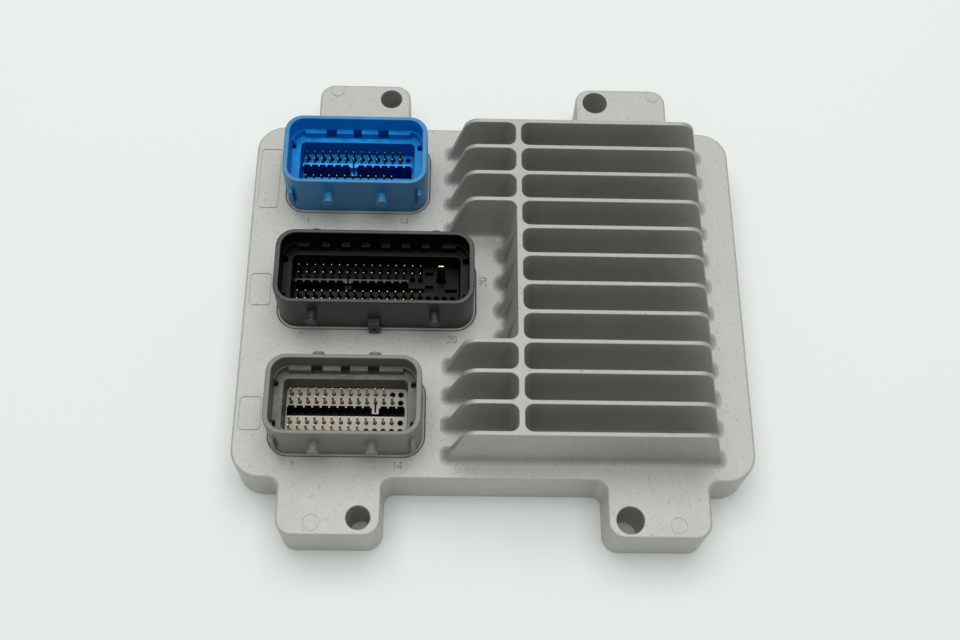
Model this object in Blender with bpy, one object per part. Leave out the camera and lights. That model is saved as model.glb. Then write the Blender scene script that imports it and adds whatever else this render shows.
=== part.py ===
"""Engine control unit.

A die-cast cover with a block of cooling fins carries three pin headers. The circuit board hangs under them,
and a recessed back plate closes the cover. The unit lies on its back: +X runs along the fins, +Y across them
and +Z out of the finned face. The origin is the middle of the back, level with the rim that the unit rests
on. Sizes are in metres.
"""

import math
from dataclasses import dataclass

import bmesh
import bpy

MM = 0.001
QUARTER = math.pi / 2

# Fits shared by every piece
GAP = 0.3 * MM  # between pieces that seat on or in each other
SINK = 0.5 * MM  # how far a joined shape runs into the one that carries it
REACH = 2.0 * MM  # how far a cutter runs past what it cuts
ARC_STEPS = 3  # flats on a quarter turn of a small corner
WIDE_ARC_STEPS = 4  # flats on a quarter turn of a corner that shows
ROUND_SIDES = 8  # flats on a small round piece
FINE_SIDES = 6  # flats on a round form that is tiny or hidden
BOLT_SIDES = 12

# Pin field of the headers
PIN_PITCH = 2.54 * MM
ROW_PITCH = 2.65 * MM  # between an outer row and the inner row beside it
ROW_GAP = 6.4 * MM  # between the two inner rows
PIN_FIELD_SHIFT = -0.25 * MM  # the pins sit a little towards the unit's edge
PIN_WIDTH = 0.64 * MM
PIN_TIP_WIDTH = 0.3 * MM
PIN_TAPER = 1.1 * MM
PIN_RISE = 7.0 * MM  # from the cover's face to the tips
PIN_FLOOR_RISE = 2.1 * MM  # from the cover's face to the floor round the pins
EMPTY_HOLE_RADIUS = 0.7 * MM
EMPTY_HOLE_DEPTH = 2.2 * MM
TRENCH_DEPTH = 6.5 * MM
TRENCH_END_MARGIN = 1.3 * MM  # past the last column
TRENCH_BACK = 1.25 * MM  # from the header's middle to the trench's back edge
TRENCH_FRONT = 1.2 * MM
TRENCH_NOTCH = 0.9 * MM  # how far a notch runs back from the trench
TRENCH_NOTCH_WIDTH = 1.7 * MM
TONGUE_REACH = 1.6 * MM  # how far the keying tongue runs into the trench

# Header shells
WELL_END_MARGIN = 2.0 * MM  # past the last column
WELL_SIDE_MARGIN = 2.15 * MM  # past the outer row
BAND_END = 4.35 * MM  # from the well to the outside, at the ends
BAND_SIDE = 4.42 * MM  # from the well to the outside, on the long sides
SHELL_END_WALL = 1.6 * MM
SHELL_SIDE_WALL = 1.25 * MM
SHELL_RADIUS = 5.8 * MM
SHELL_RISE = 18.1 * MM  # from the cover's face to the rim
RIM_CHAMFER = 0.35 * MM
LEDGE_DEPTH = 6.3 * MM  # from the rim down to the ledges along the long walls
LEDGE_WIDTH = 1.5 * MM
LEDGE_END = 1.4 * MM  # from the well's end back to the ledge's end
STEP_DEPTH = 9.1 * MM  # from the rim down to the step round the well
WELL_RADIUS = 1.5 * MM
KEYWAY_WIDTH = 3.4 * MM
SMALL_KEYWAY_PITCH = 8.45 * MM
LARGE_KEYWAY_PITCH = 6.25 * MM
LARGE_KEYING_SHIFT = -0.3 * MM  # the large header's keyways, studs and latch from its middle
FLANGE_WIDTH = 2.5 * MM
FLANGE_THICKNESS = 2.0 * MM
STUD_RADIUS = 1.75 * MM
STUD_SHANK_RADIUS = 1.5 * MM
STUD_LENGTH = 3.0 * MM  # from the wall to the stud's end
STUD_HEAD = 0.6 * MM
STUD_RISE = 10.5 * MM  # from the cover's face to the stud's axis
SMALL_STUD_OFFSET = 8.5 * MM
LARGE_STUD_OFFSET = 18.75 * MM
LATCH_WIDTH = 3.7 * MM
LATCH_DEPTH = 2.25 * MM
LATCH_RISE = 6.5 * MM
LATCH_EDGE = 0.5 * MM
LATCH_POCKET_WIDTH = 1.7 * MM
LATCH_POCKET_HEIGHT = 1.6 * MM
LATCH_POCKET_DEPTH = 1.2 * MM
TAB_WIDTH = 1.3 * MM
TAB_DEPTH = 2.5 * MM  # out from the curved wall that it stands on
TAB_BOTTOM = 4.2 * MM  # above the cover's face
TAB_TOP = 12.3 * MM
TAB_INSET = 2.4 * MM  # from the shell's end to the tab, so that the tab stands on the corner

# Power blade of the large header
BLADE_WIDTH = 2.5 * MM
BLADE_THICKNESS = 0.8 * MM
BLADE_RISE = 12.5 * MM  # from the cover's face to the blade's tip
BLADE_COLUMN = 17.57  # counted from the left column, which is 0
BLADE_OFFSET = 3.0 * MM  # from the header's middle towards its back wall
BLADE_TAPER = 0.75 * MM
BLADE_ROOT = 4.0 * MM  # how deep the blade stands in its block
BLADE_CLEARANCE = 0.35 * MM
POCKET_DEPTH = 1.5 * MM  # the moulding's pockets beside the blade
POCKET_GAP = 0.9 * MM  # from the blade's slot to a pocket

# Sealant beads round the headers
BEAD_WIDTH = 0.5 * MM
BEAD_PROUD = 0.2 * MM

# Cover casting, seen from above
HEADER_PITCH = 41.64 * MM
HEADER_SIDE_MARGIN = 7.4 * MM
HEADER_END_MARGIN = 11.45 * MM
HEADER_TO_FINS = 7.35 * MM  # from a small header's end to the foot of the fins
FIN_FOOT_LENGTH = 83.6 * MM
FIN_END_MARGIN = 9.95 * MM
BODY_RADIUS = 9.0 * MM
EDGE_CHAMFER = 0.6 * MM
LUG_LENGTH = 30.8 * MM
LUG_REACH = 17.4 * MM
LUG_RADIUS = 5.0 * MM
LUG_ROOT_RADIUS = 3.0 * MM
FRONT_LUG_OFFSET = 48.9 * MM
BACK_LUG_OFFSET = 43.75 * MM
BOLT_INSET = 8.8 * MM  # from a lug's middle towards the unit's middle
BOLT_EDGE = 5.45 * MM  # from a lug's outer edge to its bolt hole
NARROW_BOLT_HOLE = 7.1 * MM
WIDE_BOLT_HOLE = 8.2 * MM
LUG_CORE_WALL = 3.2 * MM
LUG_CORE_LENGTH = 13.0 * MM
LUG_CORE_RADIUS = 1.5 * MM

# Cover casting, from the back to the face
PLATE_RECESS = 0.3 * MM
PLATE_THICKNESS = 1.5 * MM
SPACE_UNDER_BOARD = 4.6 * MM
BOARD_THICKNESS = 1.6 * MM
SPACE_OVER_BOARD = 7.0 * MM
FACE_WALL = 3.0 * MM
SIDE_WALL = 4.0 * MM
SHOULDER_WIDTH = 2.4 * MM

# Cooling fins
FIN_COUNT = 12
FIN_PITCH = 9.59 * MM
FIN_ROW_SHIFT = -1.5 * MM  # the row's middle from the unit's middle
FIN_HEIGHT = 21.3 * MM
FIN_TIP = 1.35 * MM
FIN_DRAFT = math.radians(2.0)
FIN_SHOULDER_RISE = 8.0 * MM  # the upright foot of a fin's end, up to the shoulder where the slope starts
FIN_SHOULDER_WIDTH = 1.6 * MM
FIN_SHOULDER_EDGE = 0.8 * MM
FIN_LEFT_SLOPE = math.radians(18.5)
FIN_RIGHT_SLOPE = math.radians(14.5)
FIN_CORNER_RADIUS = 5.9 * MM
SPINE_TO_HEADER = 13.75 * MM  # from the large header's end to the middle of the spine
SPINE_TIP = 1.75 * MM
SPINE_DRAFT = math.radians(2.0)
CHANNEL_RADIUS = 2.5 * MM
CHANNEL_STEPS = 2
CHANNEL_END_SHARE = 0.45  # most of a channel's width that one end corner may take
CHANNEL_BASE = 1.2 * MM  # the chamfer along the foot of a fin
RECESS_MARGIN = 6.0 * MM  # a fin this close to the large header's side is cut short
RECESS_SLOPE = math.radians(6.9)
STUB_SLOPE = math.radians(13.4)
STUB_DRAFT = math.radians(4.0)

# Screws, their bosses and the seal under the back plate
PLATE_BOSS_RADIUS = 3.3 * MM
PLATE_BOSS_OVERLAP = 0.5 * MM  # into the side wall
PLATE_SCREW_RADIUS = 1.25 * MM
PLATE_SCREW_HEAD = 2.5 * MM
PLATE_SCREW_LENGTH = 9.0 * MM
BOARD_BOSS_RADIUS = 3.4 * MM
BOARD_SCREW_RADIUS = 1.25 * MM
BOARD_SCREW_HEAD = 2.4 * MM
BOARD_SCREW_HEAD_HEIGHT = 1.8 * MM
BOARD_SCREW_LENGTH = 6.5 * MM
BOARD_SCREW_INSET = 11.0 * MM  # from the board's end and side
DRIVE_RADIUS = 1.1 * MM
DRIVE_DEPTH = 0.8 * MM
PILOT_END = 1.0 * MM  # a pilot hole runs this far past its screw
SEAL_THICKNESS = 0.8 * MM
SEAL_INSET = 0.6 * MM  # from the cavity's wall to the seal
PANEL_MARGIN = 15.0 * MM
PANEL_RISE = 0.8 * MM
PANEL_RAMP = 1.6 * MM
PANEL_RADIUS = 5.0 * MM

# Circuit board
BOARD_EDGE = 1.5 * MM  # from the cavity's wall to the board
BOARD_RADIUS = 1.5 * MM
BOSS_CLEARANCE = 0.8 * MM
CHIP_TAPER = 0.35 * MM
DRIVER_COUNT = 4
DRIVER_SIZE = 14.0 * MM
DRIVER_HEIGHT = 2.2 * MM
DRIVER_PITCH = 18.0 * MM
DRIVER_INSET = 26.0 * MM  # from the end of the body to the middle of the drivers
THERMAL_PAD_MARGIN = 0.8 * MM
THERMAL_PAD_THICKNESS = 1.0 * MM
PEDESTAL_MARGIN = 1.5 * MM  # round the driver chips
PEDESTAL_RADIUS = 1.5 * MM
LOGIC_SETBACK = 26.0 * MM  # from the middle of the drivers to the column of the other chips
CAPACITOR_RADIUS = 4.6 * MM
CAPACITOR_HEIGHT = 6.0 * MM
CAPACITOR_TOP_RADIUS = 4.1 * MM
CAPACITOR_GROOVE = 1.6 * MM  # from the top down to the groove
CAPACITOR_COUNT = 3
CAPACITOR_PITCH = 12.0 * MM

# Levels above the rim that the unit rests on
PLATE_TOP = PLATE_RECESS + PLATE_THICKNESS
SHOULDER = PLATE_TOP + 2 * GAP + SEAL_THICKNESS
BOARD_BOTTOM = PLATE_TOP + SPACE_UNDER_BOARD
BOARD_TOP = BOARD_BOTTOM + BOARD_THICKNESS
CEILING = BOARD_TOP + SPACE_OVER_BOARD
FACE = CEILING + FACE_WALL
FIN_TOP = FACE + FIN_HEIGHT
RIM = FACE + SHELL_RISE
FLANGE_TOP = CEILING - GAP
PIN_FLOOR = FACE + PIN_FLOOR_RISE
PIN_TOP = FACE + PIN_RISE

# Colours as linear light
CAST_ALUMINIUM = (0.48, 0.48, 0.44)
STEEL = (0.40, 0.40, 0.41)
SHEET_METAL = (0.52, 0.53, 0.54)
BRASS = (0.70, 0.46, 0.18)
BOARD_GREEN = (0.015, 0.13, 0.05)
CHIP_BLACK = (0.012, 0.012, 0.013)
DARK_PLASTIC = (0.02, 0.02, 0.022)
SILICONE = (0.10, 0.10, 0.11)
PAD_GREY = (0.30, 0.33, 0.36)
CAN_SILVER = (0.55, 0.56, 0.58)


@dataclass(frozen=True)
class Header:
    """One pin header. Its four rows of holes and pins are counted from the back of the unit to the front."""

    name: str
    lane: int  # 1 at the back of the unit, 0 in the middle, -1 at the front
    columns: int
    holes: tuple[int, int, int, int]
    pins: tuple[int, int, int, int]
    keyways: int  # on each long side
    keyway_pitch: float
    stud_offset: float
    keying_shift: float  # of the keyways and studs from the header's middle
    tongue_column: int  # where a tongue takes the place of the trench's notch
    powered: bool  # it carries the power blade, and a latch block on its front wall
    shell_colour: tuple[float, float, float]
    floor_colour: tuple[float, float, float]

    @property
    def well_length(self):
        return (self.columns - 1) * PIN_PITCH + 2 * WELL_END_MARGIN

    @property
    def length(self):
        return self.well_length + 2 * BAND_END

    @property
    def centre(self):
        """The middle of the header, in the unit's plan."""
        return HEADER_LEFT + self.length / 2, self.lane * HEADER_PITCH

    def outline(self, end_inset, side_inset, radius, steps=ARC_STEPS):
        """A rounded rectangle this far inside the shell's outer face."""
        length = self.length - 2 * end_inset
        return rounded_rectangle(length, HEADER_WIDTH - 2 * side_inset, radius, steps)

    def column_x(self, column):
        return (column - (self.columns - 1) / 2) * PIN_PITCH + PIN_FIELD_SHIFT

    def pin_places(self):
        """The places of the pins, which fill each row from the left."""
        return [(self.column_x(column), ROWS[row]) for row in range(4) for column in range(self.pins[row])]

    def empty_places(self):
        """The holes past the last pin of each row."""
        spans = (range(self.pins[row], self.holes[row]) for row in range(4))
        return [(self.column_x(column), ROWS[row]) for row, span in enumerate(spans) for column in span]


ROWS = (ROW_GAP / 2 + ROW_PITCH, ROW_GAP / 2, -ROW_GAP / 2, -ROW_GAP / 2 - ROW_PITCH)
WELL_WIDTH = ROW_GAP + 2 * ROW_PITCH + 2 * WELL_SIDE_MARGIN
HEADER_WIDTH = WELL_WIDTH + 2 * BAND_SIDE
BLUE = Header(
    name="blue",
    lane=1,
    columns=14,
    holes=(14, 14, 14, 14),
    pins=(13, 13, 12, 13),
    keyways=3,
    keyway_pitch=SMALL_KEYWAY_PITCH,
    stud_offset=SMALL_STUD_OFFSET,
    keying_shift=0.0,
    tongue_column=6,
    powered=False,
    shell_colour=(0.02, 0.20, 0.60),
    floor_colour=(0.01, 0.12, 0.42),
)
BLACK = Header(
    name="black",
    lane=0,
    columns=20,
    holes=(16, 16, 20, 20),
    pins=(16, 16, 16, 15),
    keyways=7,
    keyway_pitch=LARGE_KEYWAY_PITCH,
    stud_offset=LARGE_STUD_OFFSET,
    keying_shift=LARGE_KEYING_SHIFT,
    tongue_column=6,
    powered=True,
    shell_colour=(0.018, 0.019, 0.019),
    floor_colour=(0.008, 0.008, 0.008),
)
GREY = Header(
    name="grey",
    lane=-1,
    columns=14,
    holes=(14, 14, 14, 14),
    pins=(12, 13, 13, 9),
    keyways=3,
    keyway_pitch=SMALL_KEYWAY_PITCH,
    stud_offset=SMALL_STUD_OFFSET,
    keying_shift=0.0,
    tongue_column=10,
    powered=False,
    shell_colour=(0.23, 0.23, 0.20),
    floor_colour=(0.34, 0.34, 0.31),
)
HEADERS = (BLUE, BLACK, GREY)


@dataclass(frozen=True)
class Chip:
    """One moulded component on the board, with its place across the unit."""

    name: str
    length: float
    width: float
    height: float
    y: float
    colour: tuple[float, float, float] = CHIP_BLACK


LOGIC_CHIPS = (
    Chip("processor", length=24.0 * MM, width=24.0 * MM, height=1.6 * MM, y=0.0),
    Chip("memory_chip", length=12.0 * MM, width=18.0 * MM, height=1.2 * MM, y=-25.0 * MM),
    Chip("clock_crystal", length=11.0 * MM, width=4.6 * MM, height=3.6 * MM, y=15.5 * MM, colour=CAN_SILVER),
    Chip("power_supply_chip", length=12.0 * MM, width=12.0 * MM, height=2.2 * MM, y=25.5 * MM),
    Chip("power_coil", length=12.0 * MM, width=12.0 * MM, height=5.6 * MM, y=40.0 * MM, colour=DARK_PLASTIC),
)

# Outline of the casting, worked out from what it carries
BODY_LENGTH = HEADER_END_MARGIN + BLUE.length + HEADER_TO_FINS + FIN_FOOT_LENGTH + FIN_END_MARGIN
BODY_WIDTH = 2 * (HEADER_PITCH + HEADER_WIDTH / 2 + HEADER_SIDE_MARGIN)
HEADER_LEFT = HEADER_END_MARGIN - BODY_LENGTH / 2
FIN_RIGHT = BODY_LENGTH / 2 - FIN_END_MARGIN
FIN_LEFT = FIN_RIGHT - FIN_FOOT_LENGTH
SPINE_X = HEADER_LEFT + BLACK.length + SPINE_TO_HEADER
CAVITY_LENGTH = BODY_LENGTH - 2 * SIDE_WALL
CAVITY_WIDTH = BODY_WIDTH - 2 * SIDE_WALL
BOARD_LENGTH = CAVITY_LENGTH - 2 * BOARD_EDGE
BOARD_WIDTH = CAVITY_WIDTH - 2 * BOARD_EDGE
DRIVER_X = BODY_LENGTH / 2 - DRIVER_INSET


# Outlines and closed skins

def arc(centre, radius, start, end, steps):
    """Points on an arc, both ends included."""
    angles = [start + (end - start) * step / steps for step in range(steps + 1)]
    return [(centre[0] + radius * math.cos(angle), centre[1] + radius * math.sin(angle)) for angle in angles]


def circle(radius, sides=ROUND_SIDES):
    return arc((0, 0), radius, 0, 4 * QUARTER, sides)[:-1]


def rounded_rectangle(length, width, radius, steps=ARC_STEPS):
    """Outline of a rectangle with rounded corners, anticlockwise round the origin."""
    x = length / 2 - radius
    y = width / 2 - radius
    outline = []
    for quarter, corner in enumerate(((x, y), (-x, y), (-x, -y), (x, -y))):
        outline += arc(corner, radius, quarter * QUARTER, (quarter + 1) * QUARTER, steps)
    return outline


def rectangle(left, right, front, back):
    return [(left, front), (right, front), (right, back), (left, back)]


def loft(*sections):
    """Rings through outlines with equal numbers of points, each outline at its own height."""
    return [[(x, y, z) for x, y in outline] for outline, z in sections]


def prism(outline, bottom, top):
    return loft((outline, bottom), (outline, top))


def rib(profile, half_width):
    """Rings of a rib along X. Its profile lies in X and Z, and its half width depends on the height."""
    return [[(x, side * half_width(z), z) for x, z in profile] for side in (1, -1)]


def moved(rings, x=0.0, y=0.0, z=0.0):
    return [[(px + x, py + y, pz + z) for px, py, pz in ring] for ring in rings]


def add_skin(form, rings):
    """Adds a closed skin through rings that run the same way round, with a face on each end."""
    loops = [[form.verts.new(point) for point in ring] for ring in rings]
    form.faces.new(reversed(loops[0]))
    form.faces.new(loops[-1])
    for lower, upper in zip(loops, loops[1:]):
        for index, vertex in enumerate(lower):
            following = (index + 1) % len(lower)
            form.faces.new((vertex, lower[following], upper[following], upper[index]))


def solid(name, *skins):
    """An object made of closed skins that stay clear of one another."""
    form = bmesh.new()
    for rings in skins:
        add_skin(form, rings)
    mesh = bpy.data.meshes.new(name)
    form.to_mesh(mesh)
    form.free()
    made = bpy.data.objects.new(name, mesh)
    bpy.context.scene.collection.objects.link(made)
    return made


def combined(carrier, operation, tools):
    """Applies Booleans with the tools to the carrier and removes the tools."""
    for tool in tools:
        tool.hide_render = True
        tool.display_type = "WIRE"
        modifier = carrier.modifiers.new(operation.title(), "BOOLEAN")
        modifier.operation = operation
        modifier.solver = "EXACT"
        modifier.object = tool
    graph = bpy.context.evaluated_depsgraph_get()
    mesh = bpy.data.meshes.new_from_object(carrier.evaluated_get(graph))
    carrier.modifiers.clear()
    carrier.data = mesh
    for tool in tools:
        bpy.data.objects.remove(tool)
    return carrier


def join(carrier, *tools):
    return combined(carrier, "UNION", tools)


def cut(carrier, *tools):
    return combined(carrier, "DIFFERENCE", tools)


def surface_material(name, colour, roughness, metallic):
    material = bpy.data.materials.new(name)
    material.use_nodes = True
    surface = material.node_tree.nodes["Principled BSDF"]
    surface.inputs["Base Color"].default_value = (*colour, 1.0)
    surface.inputs["Roughness"].default_value = roughness
    surface.inputs["Metallic"].default_value = metallic
    return material


def finish(made, colour, roughness, metallic=0.0):
    """Gives a piece its material and smooth shading between sharp edges."""
    made.data.materials.clear()
    made.data.materials.append(surface_material(made.name, colour, roughness, metallic))
    made.data.shade_smooth()
    made.data.set_sharp_from_angle(angle=math.radians(35))
    return made


# Places of the screws

def plate_screw_places():
    """The cavity's corners and the middle of its long walls, clear of the headers."""
    inset = PLATE_BOSS_RADIUS - PLATE_BOSS_OVERLAP
    x = CAVITY_LENGTH / 2 - inset
    y = CAVITY_WIDTH / 2 - inset
    middle = (FIN_LEFT + BLUE.centre[0] + BLUE.length / 2) / 2
    return [(column, side * y) for side in (1, -1) for column in (-x, middle, x)]


def board_screw_places():
    """Between the headers on the left, and near the board's corners on the right."""
    right = BOARD_LENGTH / 2 - BOARD_SCREW_INSET
    back = BOARD_WIDTH / 2 - BOARD_SCREW_INSET
    places = ((BLUE.centre[0], HEADER_PITCH / 2), (right, back))
    return [(x, side * y) for side in (1, -1) for x, y in places]


def at_each(rings, places):
    return [moved(rings, x, y) for x, y in places]


# Cover casting

def fin_y(index):
    return FIN_ROW_SHIFT + ((FIN_COUNT - 1) / 2 - index) * FIN_PITCH


def fin_half_width(height):
    return FIN_TIP / 2 + (FIN_TOP - height) * math.tan(FIN_DRAFT)


def is_cut_short(index):
    return abs(fin_y(index)) < HEADER_WIDTH / 2 + RECESS_MARGIN


def fin_end(foot, slope, side):
    """Side view of one end of the fin block: upright foot, shoulder, slope and rounded corner."""
    shoulder = FACE + min(FIN_SHOULDER_RISE, FIN_HEIGHT / 2)
    neck = foot - side * FIN_SHOULDER_WIDTH
    corner = neck - side * (FIN_TOP - shoulder) * math.tan(slope)
    radius = min(FIN_CORNER_RADIUS, (FIN_TOP - shoulder) / 2)
    centre = (corner - side * radius * math.tan((QUARTER - slope) / 2), FIN_TOP - radius)
    rounding = arc(centre, radius, slope, QUARTER, ARC_STEPS + 1)
    if side < 0:
        rounding = [(2 * centre[0] - x, z) for x, z in rounding]
    return [(foot, FACE - SINK), (foot, shoulder - FIN_SHOULDER_EDGE), (neck, shoulder), *rounding]


def fin_end_profile():
    """Side view of the fin block, from its right foot over the level top to its left foot."""
    right = fin_end(FIN_RIGHT, FIN_RIGHT_SLOPE, 1)
    left = fin_end(FIN_LEFT, FIN_LEFT_SLOPE, -1)
    return right + left[::-1]


def channel(side, front, back, spine_slope):
    """Cutter for the space between two fins, from the spine out past the fins' ends on one side."""
    far = FIN_RIGHT + REACH if side > 0 else FIN_LEFT - REACH
    sections = []
    for height, base in ((FACE, CHANNEL_BASE), (FACE + CHANNEL_BASE, 0.0), (FIN_TOP + REACH, 0.0)):
        wall = fin_half_width(height) + base
        low = fin_y(front) + wall
        high = fin_y(back) - wall
        near = SPINE_X + side * (SPINE_TIP / 2 + (FIN_TOP - height) * math.tan(spine_slope) + base)
        radius = min(CHANNEL_RADIUS, CHANNEL_END_SHARE * (high - low))
        inner = near + side * radius
        if side > 0:
            outline = [(far, low), (far, high)]
            outline += arc((inner, high - radius), radius, QUARTER, 2 * QUARTER, CHANNEL_STEPS)
            outline += arc((inner, low + radius), radius, 2 * QUARTER, 3 * QUARTER, CHANNEL_STEPS)
        else:
            outline = [(far, high), (far, low)]
            outline += arc((inner, low + radius), radius, -QUARTER, 0, CHANNEL_STEPS)
            outline += arc((inner, high - radius), radius, 0, QUARTER, CHANNEL_STEPS)
        sections.append((outline, height))
    return solid("channel", loft(*sections))


def fin_stub():
    """What is left of a fin beside the large header: a buttress from the spine's top down to the face."""
    edge = SPINE_X - SPINE_TIP / 2
    foot = edge - FIN_HEIGHT * math.tan(STUB_SLOPE)
    bottom = FACE - SINK
    profile = [(foot, bottom), (SPINE_X, bottom), (SPINE_X, FIN_TOP), (edge, FIN_TOP), (foot, FACE)]
    return rib(profile, lambda height: FIN_TIP / 2 + (FIN_TOP - height) * math.tan(STUB_DRAFT))


def fin_block():
    """The block of fins: one drafted bar with channels cut between the fins, on each side of the spine."""
    half_row = (FIN_COUNT - 1) / 2 * FIN_PITCH
    bar = moved(rib(fin_end_profile(), lambda height: half_row + fin_half_width(height)), y=FIN_ROW_SHIFT)
    pairs = [(index + 1, index) for index in range(FIN_COUNT - 1)]
    whole = [index for index in range(FIN_COUNT) if not is_cut_short(index)]
    left_pairs = [(front, back) for back, front in zip(whole, whole[1:])]
    cutters = [channel(1, front, back, SPINE_DRAFT) for front, back in pairs]
    for front, back in left_pairs:
        beside_header = front - back > 1
        cutters.append(channel(-1, front, back, RECESS_SLOPE if beside_header else SPINE_DRAFT))
    block = cut(solid("fin_block", bar), *cutters)
    stubs = [moved(fin_stub(), y=fin_y(index)) for index in range(FIN_COUNT) if is_cut_short(index)]
    return join(block, solid("stubs", *stubs)) if stubs else block


def chamfered(outline_at, bottom, top):
    """A prism whose top edge is chamfered. outline_at gives the outline at an inset."""
    wide = outline_at(0)
    return loft((wide, bottom), (wide, top - EDGE_CHAMFER), (outline_at(EDGE_CHAMFER), top))


def body_outline(inset, steps=WIDE_ARC_STEPS):
    return rounded_rectangle(BODY_LENGTH - 2 * inset, BODY_WIDTH - 2 * inset, BODY_RADIUS - inset, steps)


def lug_outline(inset):
    """Outline of a back lug about its root's middle: flared into the body, with rounded outer corners."""
    half = LUG_LENGTH / 2 - inset
    outer = LUG_REACH - inset
    root = LUG_ROOT_RADIUS + inset
    corner = LUG_RADIUS - inset
    flare = half + root
    start = -inset
    outline = [(-flare, start - SINK - LUG_ROOT_RADIUS), (flare, start - SINK - LUG_ROOT_RADIUS)]
    outline += arc((flare, start + root), root, 3 * QUARTER, 2 * QUARTER, ARC_STEPS)
    outline += arc((half - corner, outer - corner), corner, 0, QUARTER, ARC_STEPS + 1)
    outline += arc((corner - half, outer - corner), corner, QUARTER, 2 * QUARTER, ARC_STEPS + 1)
    outline += arc((-flare, start + root), root, 0, -QUARTER, ARC_STEPS)
    return outline


def turned_about(rings):
    """The rings turned half a turn about Z."""
    return [[(-x, -y, z) for x, y, z in ring] for ring in rings]


def lug_places():
    """Each lug's middle along X and its side of the body: 1 for the back, -1 for the front."""
    offsets = ((1, BACK_LUG_OFFSET), (-1, FRONT_LUG_OFFSET))
    return [(x, side) for side, offset in offsets for x in (-offset, offset)]


def lugs():
    made = []
    for x, side in lug_places():
        rings = chamfered(lug_outline, 0, FACE)
        rings = rings if side > 0 else turned_about(rings)
        made.append(solid("lug", moved(rings, x, side * BODY_WIDTH / 2)))
    return made


def bolt_holes():
    """Cutters for the bolt holes, narrow on the left and wide on the right, with flats square to the body."""
    turn = 2 * QUARTER / BOLT_SIDES
    made = []
    for x, side in lug_places():
        towards_middle = -1 if x > 0 else 1
        diameter = NARROW_BOLT_HOLE if x < 0 else WIDE_BOLT_HOLE
        outline = arc((0, 0), diameter / 2, turn, turn + 4 * QUARTER, BOLT_SIDES)[:-1]
        hole = prism(outline, -REACH, FACE + REACH)
        y = side * (BODY_WIDTH / 2 + LUG_REACH - BOLT_EDGE)
        made.append(solid("bolt_hole", moved(hole, x + towards_middle * BOLT_INSET, y)))
    return made


def lug_cores():
    """Cutters that core each lug from below, beside its bolt hole."""
    made = []
    width = LUG_REACH - LUG_CORE_WALL
    for x, side in lug_places():
        outward = 1 if x > 0 else -1
        core = prism(rounded_rectangle(LUG_CORE_LENGTH, width, LUG_CORE_RADIUS), -REACH, CEILING)
        shift = outward * (LUG_LENGTH / 2 - LUG_CORE_WALL - LUG_CORE_LENGTH / 2)
        y = side * (BODY_WIDTH / 2 + width / 2)
        made.append(solid("lug_core", moved(core, x + shift, y)))
    return made


def cavity():
    """Cutters for the hollow: the room for the board, and the wider recess that takes the back plate."""
    room = prism(body_outline(SIDE_WALL, ARC_STEPS), -REACH, CEILING)
    recess = prism(body_outline(SIDE_WALL - SHOULDER_WIDTH, ARC_STEPS + 1), -REACH, SHOULDER)
    return solid("room", room), solid("recess", recess)


def header_openings():
    """Cutters for the openings that the headers stand in, wider than a shell by its bead of sealant."""
    margin = -(2 * GAP + BEAD_WIDTH)
    made = []
    for header in HEADERS:
        outline = header.outline(margin, margin, SHELL_RADIUS - margin, WIDE_ARC_STEPS)
        hole = prism(outline, CEILING - REACH, FACE + REACH)
        made.append(solid("opening", moved(hole, *header.centre)))
    return made


def bosses():
    """Screw bosses that hang from the ceiling, and the pedestal that draws heat from the driver chips."""
    plate_boss = prism(circle(PLATE_BOSS_RADIUS), SHOULDER, CEILING + SINK)
    board_boss = prism(circle(BOARD_BOSS_RADIUS), BOARD_TOP + GAP, CEILING + SINK)
    half_row = (DRIVER_COUNT - 1) / 2 * DRIVER_PITCH + DRIVER_SIZE / 2 + PEDESTAL_MARGIN
    half_width = DRIVER_SIZE / 2 + PEDESTAL_MARGIN
    pedestal_bottom = BOARD_TOP + 3 * GAP + DRIVER_HEIGHT + THERMAL_PAD_THICKNESS
    pedestal_outline = rounded_rectangle(2 * half_width, 2 * half_row, PEDESTAL_RADIUS)
    pedestal = prism(pedestal_outline, pedestal_bottom, CEILING + SINK)
    skins = at_each(plate_boss, plate_screw_places()) + at_each(board_boss, board_screw_places())
    return solid("bosses", *skins, moved(pedestal, DRIVER_X))


def pilot_holes():
    """Cutters for the holes that the screws hold in."""
    plate_hole = circle(PLATE_SCREW_RADIUS + GAP, FINE_SIDES)
    board_hole = circle(BOARD_SCREW_RADIUS + GAP, FINE_SIDES)
    plate_pilot = prism(plate_hole, SHOULDER - REACH, plate_screw_end() + PILOT_END)
    board_pilot = prism(board_hole, BOARD_TOP - REACH, board_screw_end() + PILOT_END)
    skins = at_each(plate_pilot, plate_screw_places()) + at_each(board_pilot, board_screw_places())
    return solid("pilot_holes", *skins)


def cast_housing():
    housing = solid("cast_housing", chamfered(body_outline, 0, FACE))
    join(housing, *lugs())
    join(housing, fin_block())
    cut(housing, *cavity(), *header_openings(), *bolt_holes(), *lug_cores())
    join(housing, bosses())
    cut(housing, pilot_holes())
    return finish(housing, CAST_ALUMINIUM, 0.5, 0.9)


# Header shells and pin blocks

def shell_body(header):
    """Outer skin of a shell, with its flange under the cover's ceiling."""
    steps = WIDE_ARC_STEPS
    plain = header.outline(0, 0, SHELL_RADIUS, steps)
    rim = header.outline(RIM_CHAMFER, RIM_CHAMFER, SHELL_RADIUS - RIM_CHAMFER, steps)
    flange = header.outline(-FLANGE_WIDTH, -FLANGE_WIDTH, SHELL_RADIUS + FLANGE_WIDTH, steps)
    flange_bottom = FLANGE_TOP - FLANGE_THICKNESS
    return loft(
        (plain, BOARD_TOP + GAP),
        (plain, flange_bottom),
        (flange, flange_bottom),
        (flange, FLANGE_TOP),
        (plain, FLANGE_TOP),
        (plain, RIM - RIM_CHAMFER),
        (rim, RIM),
    )


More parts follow.
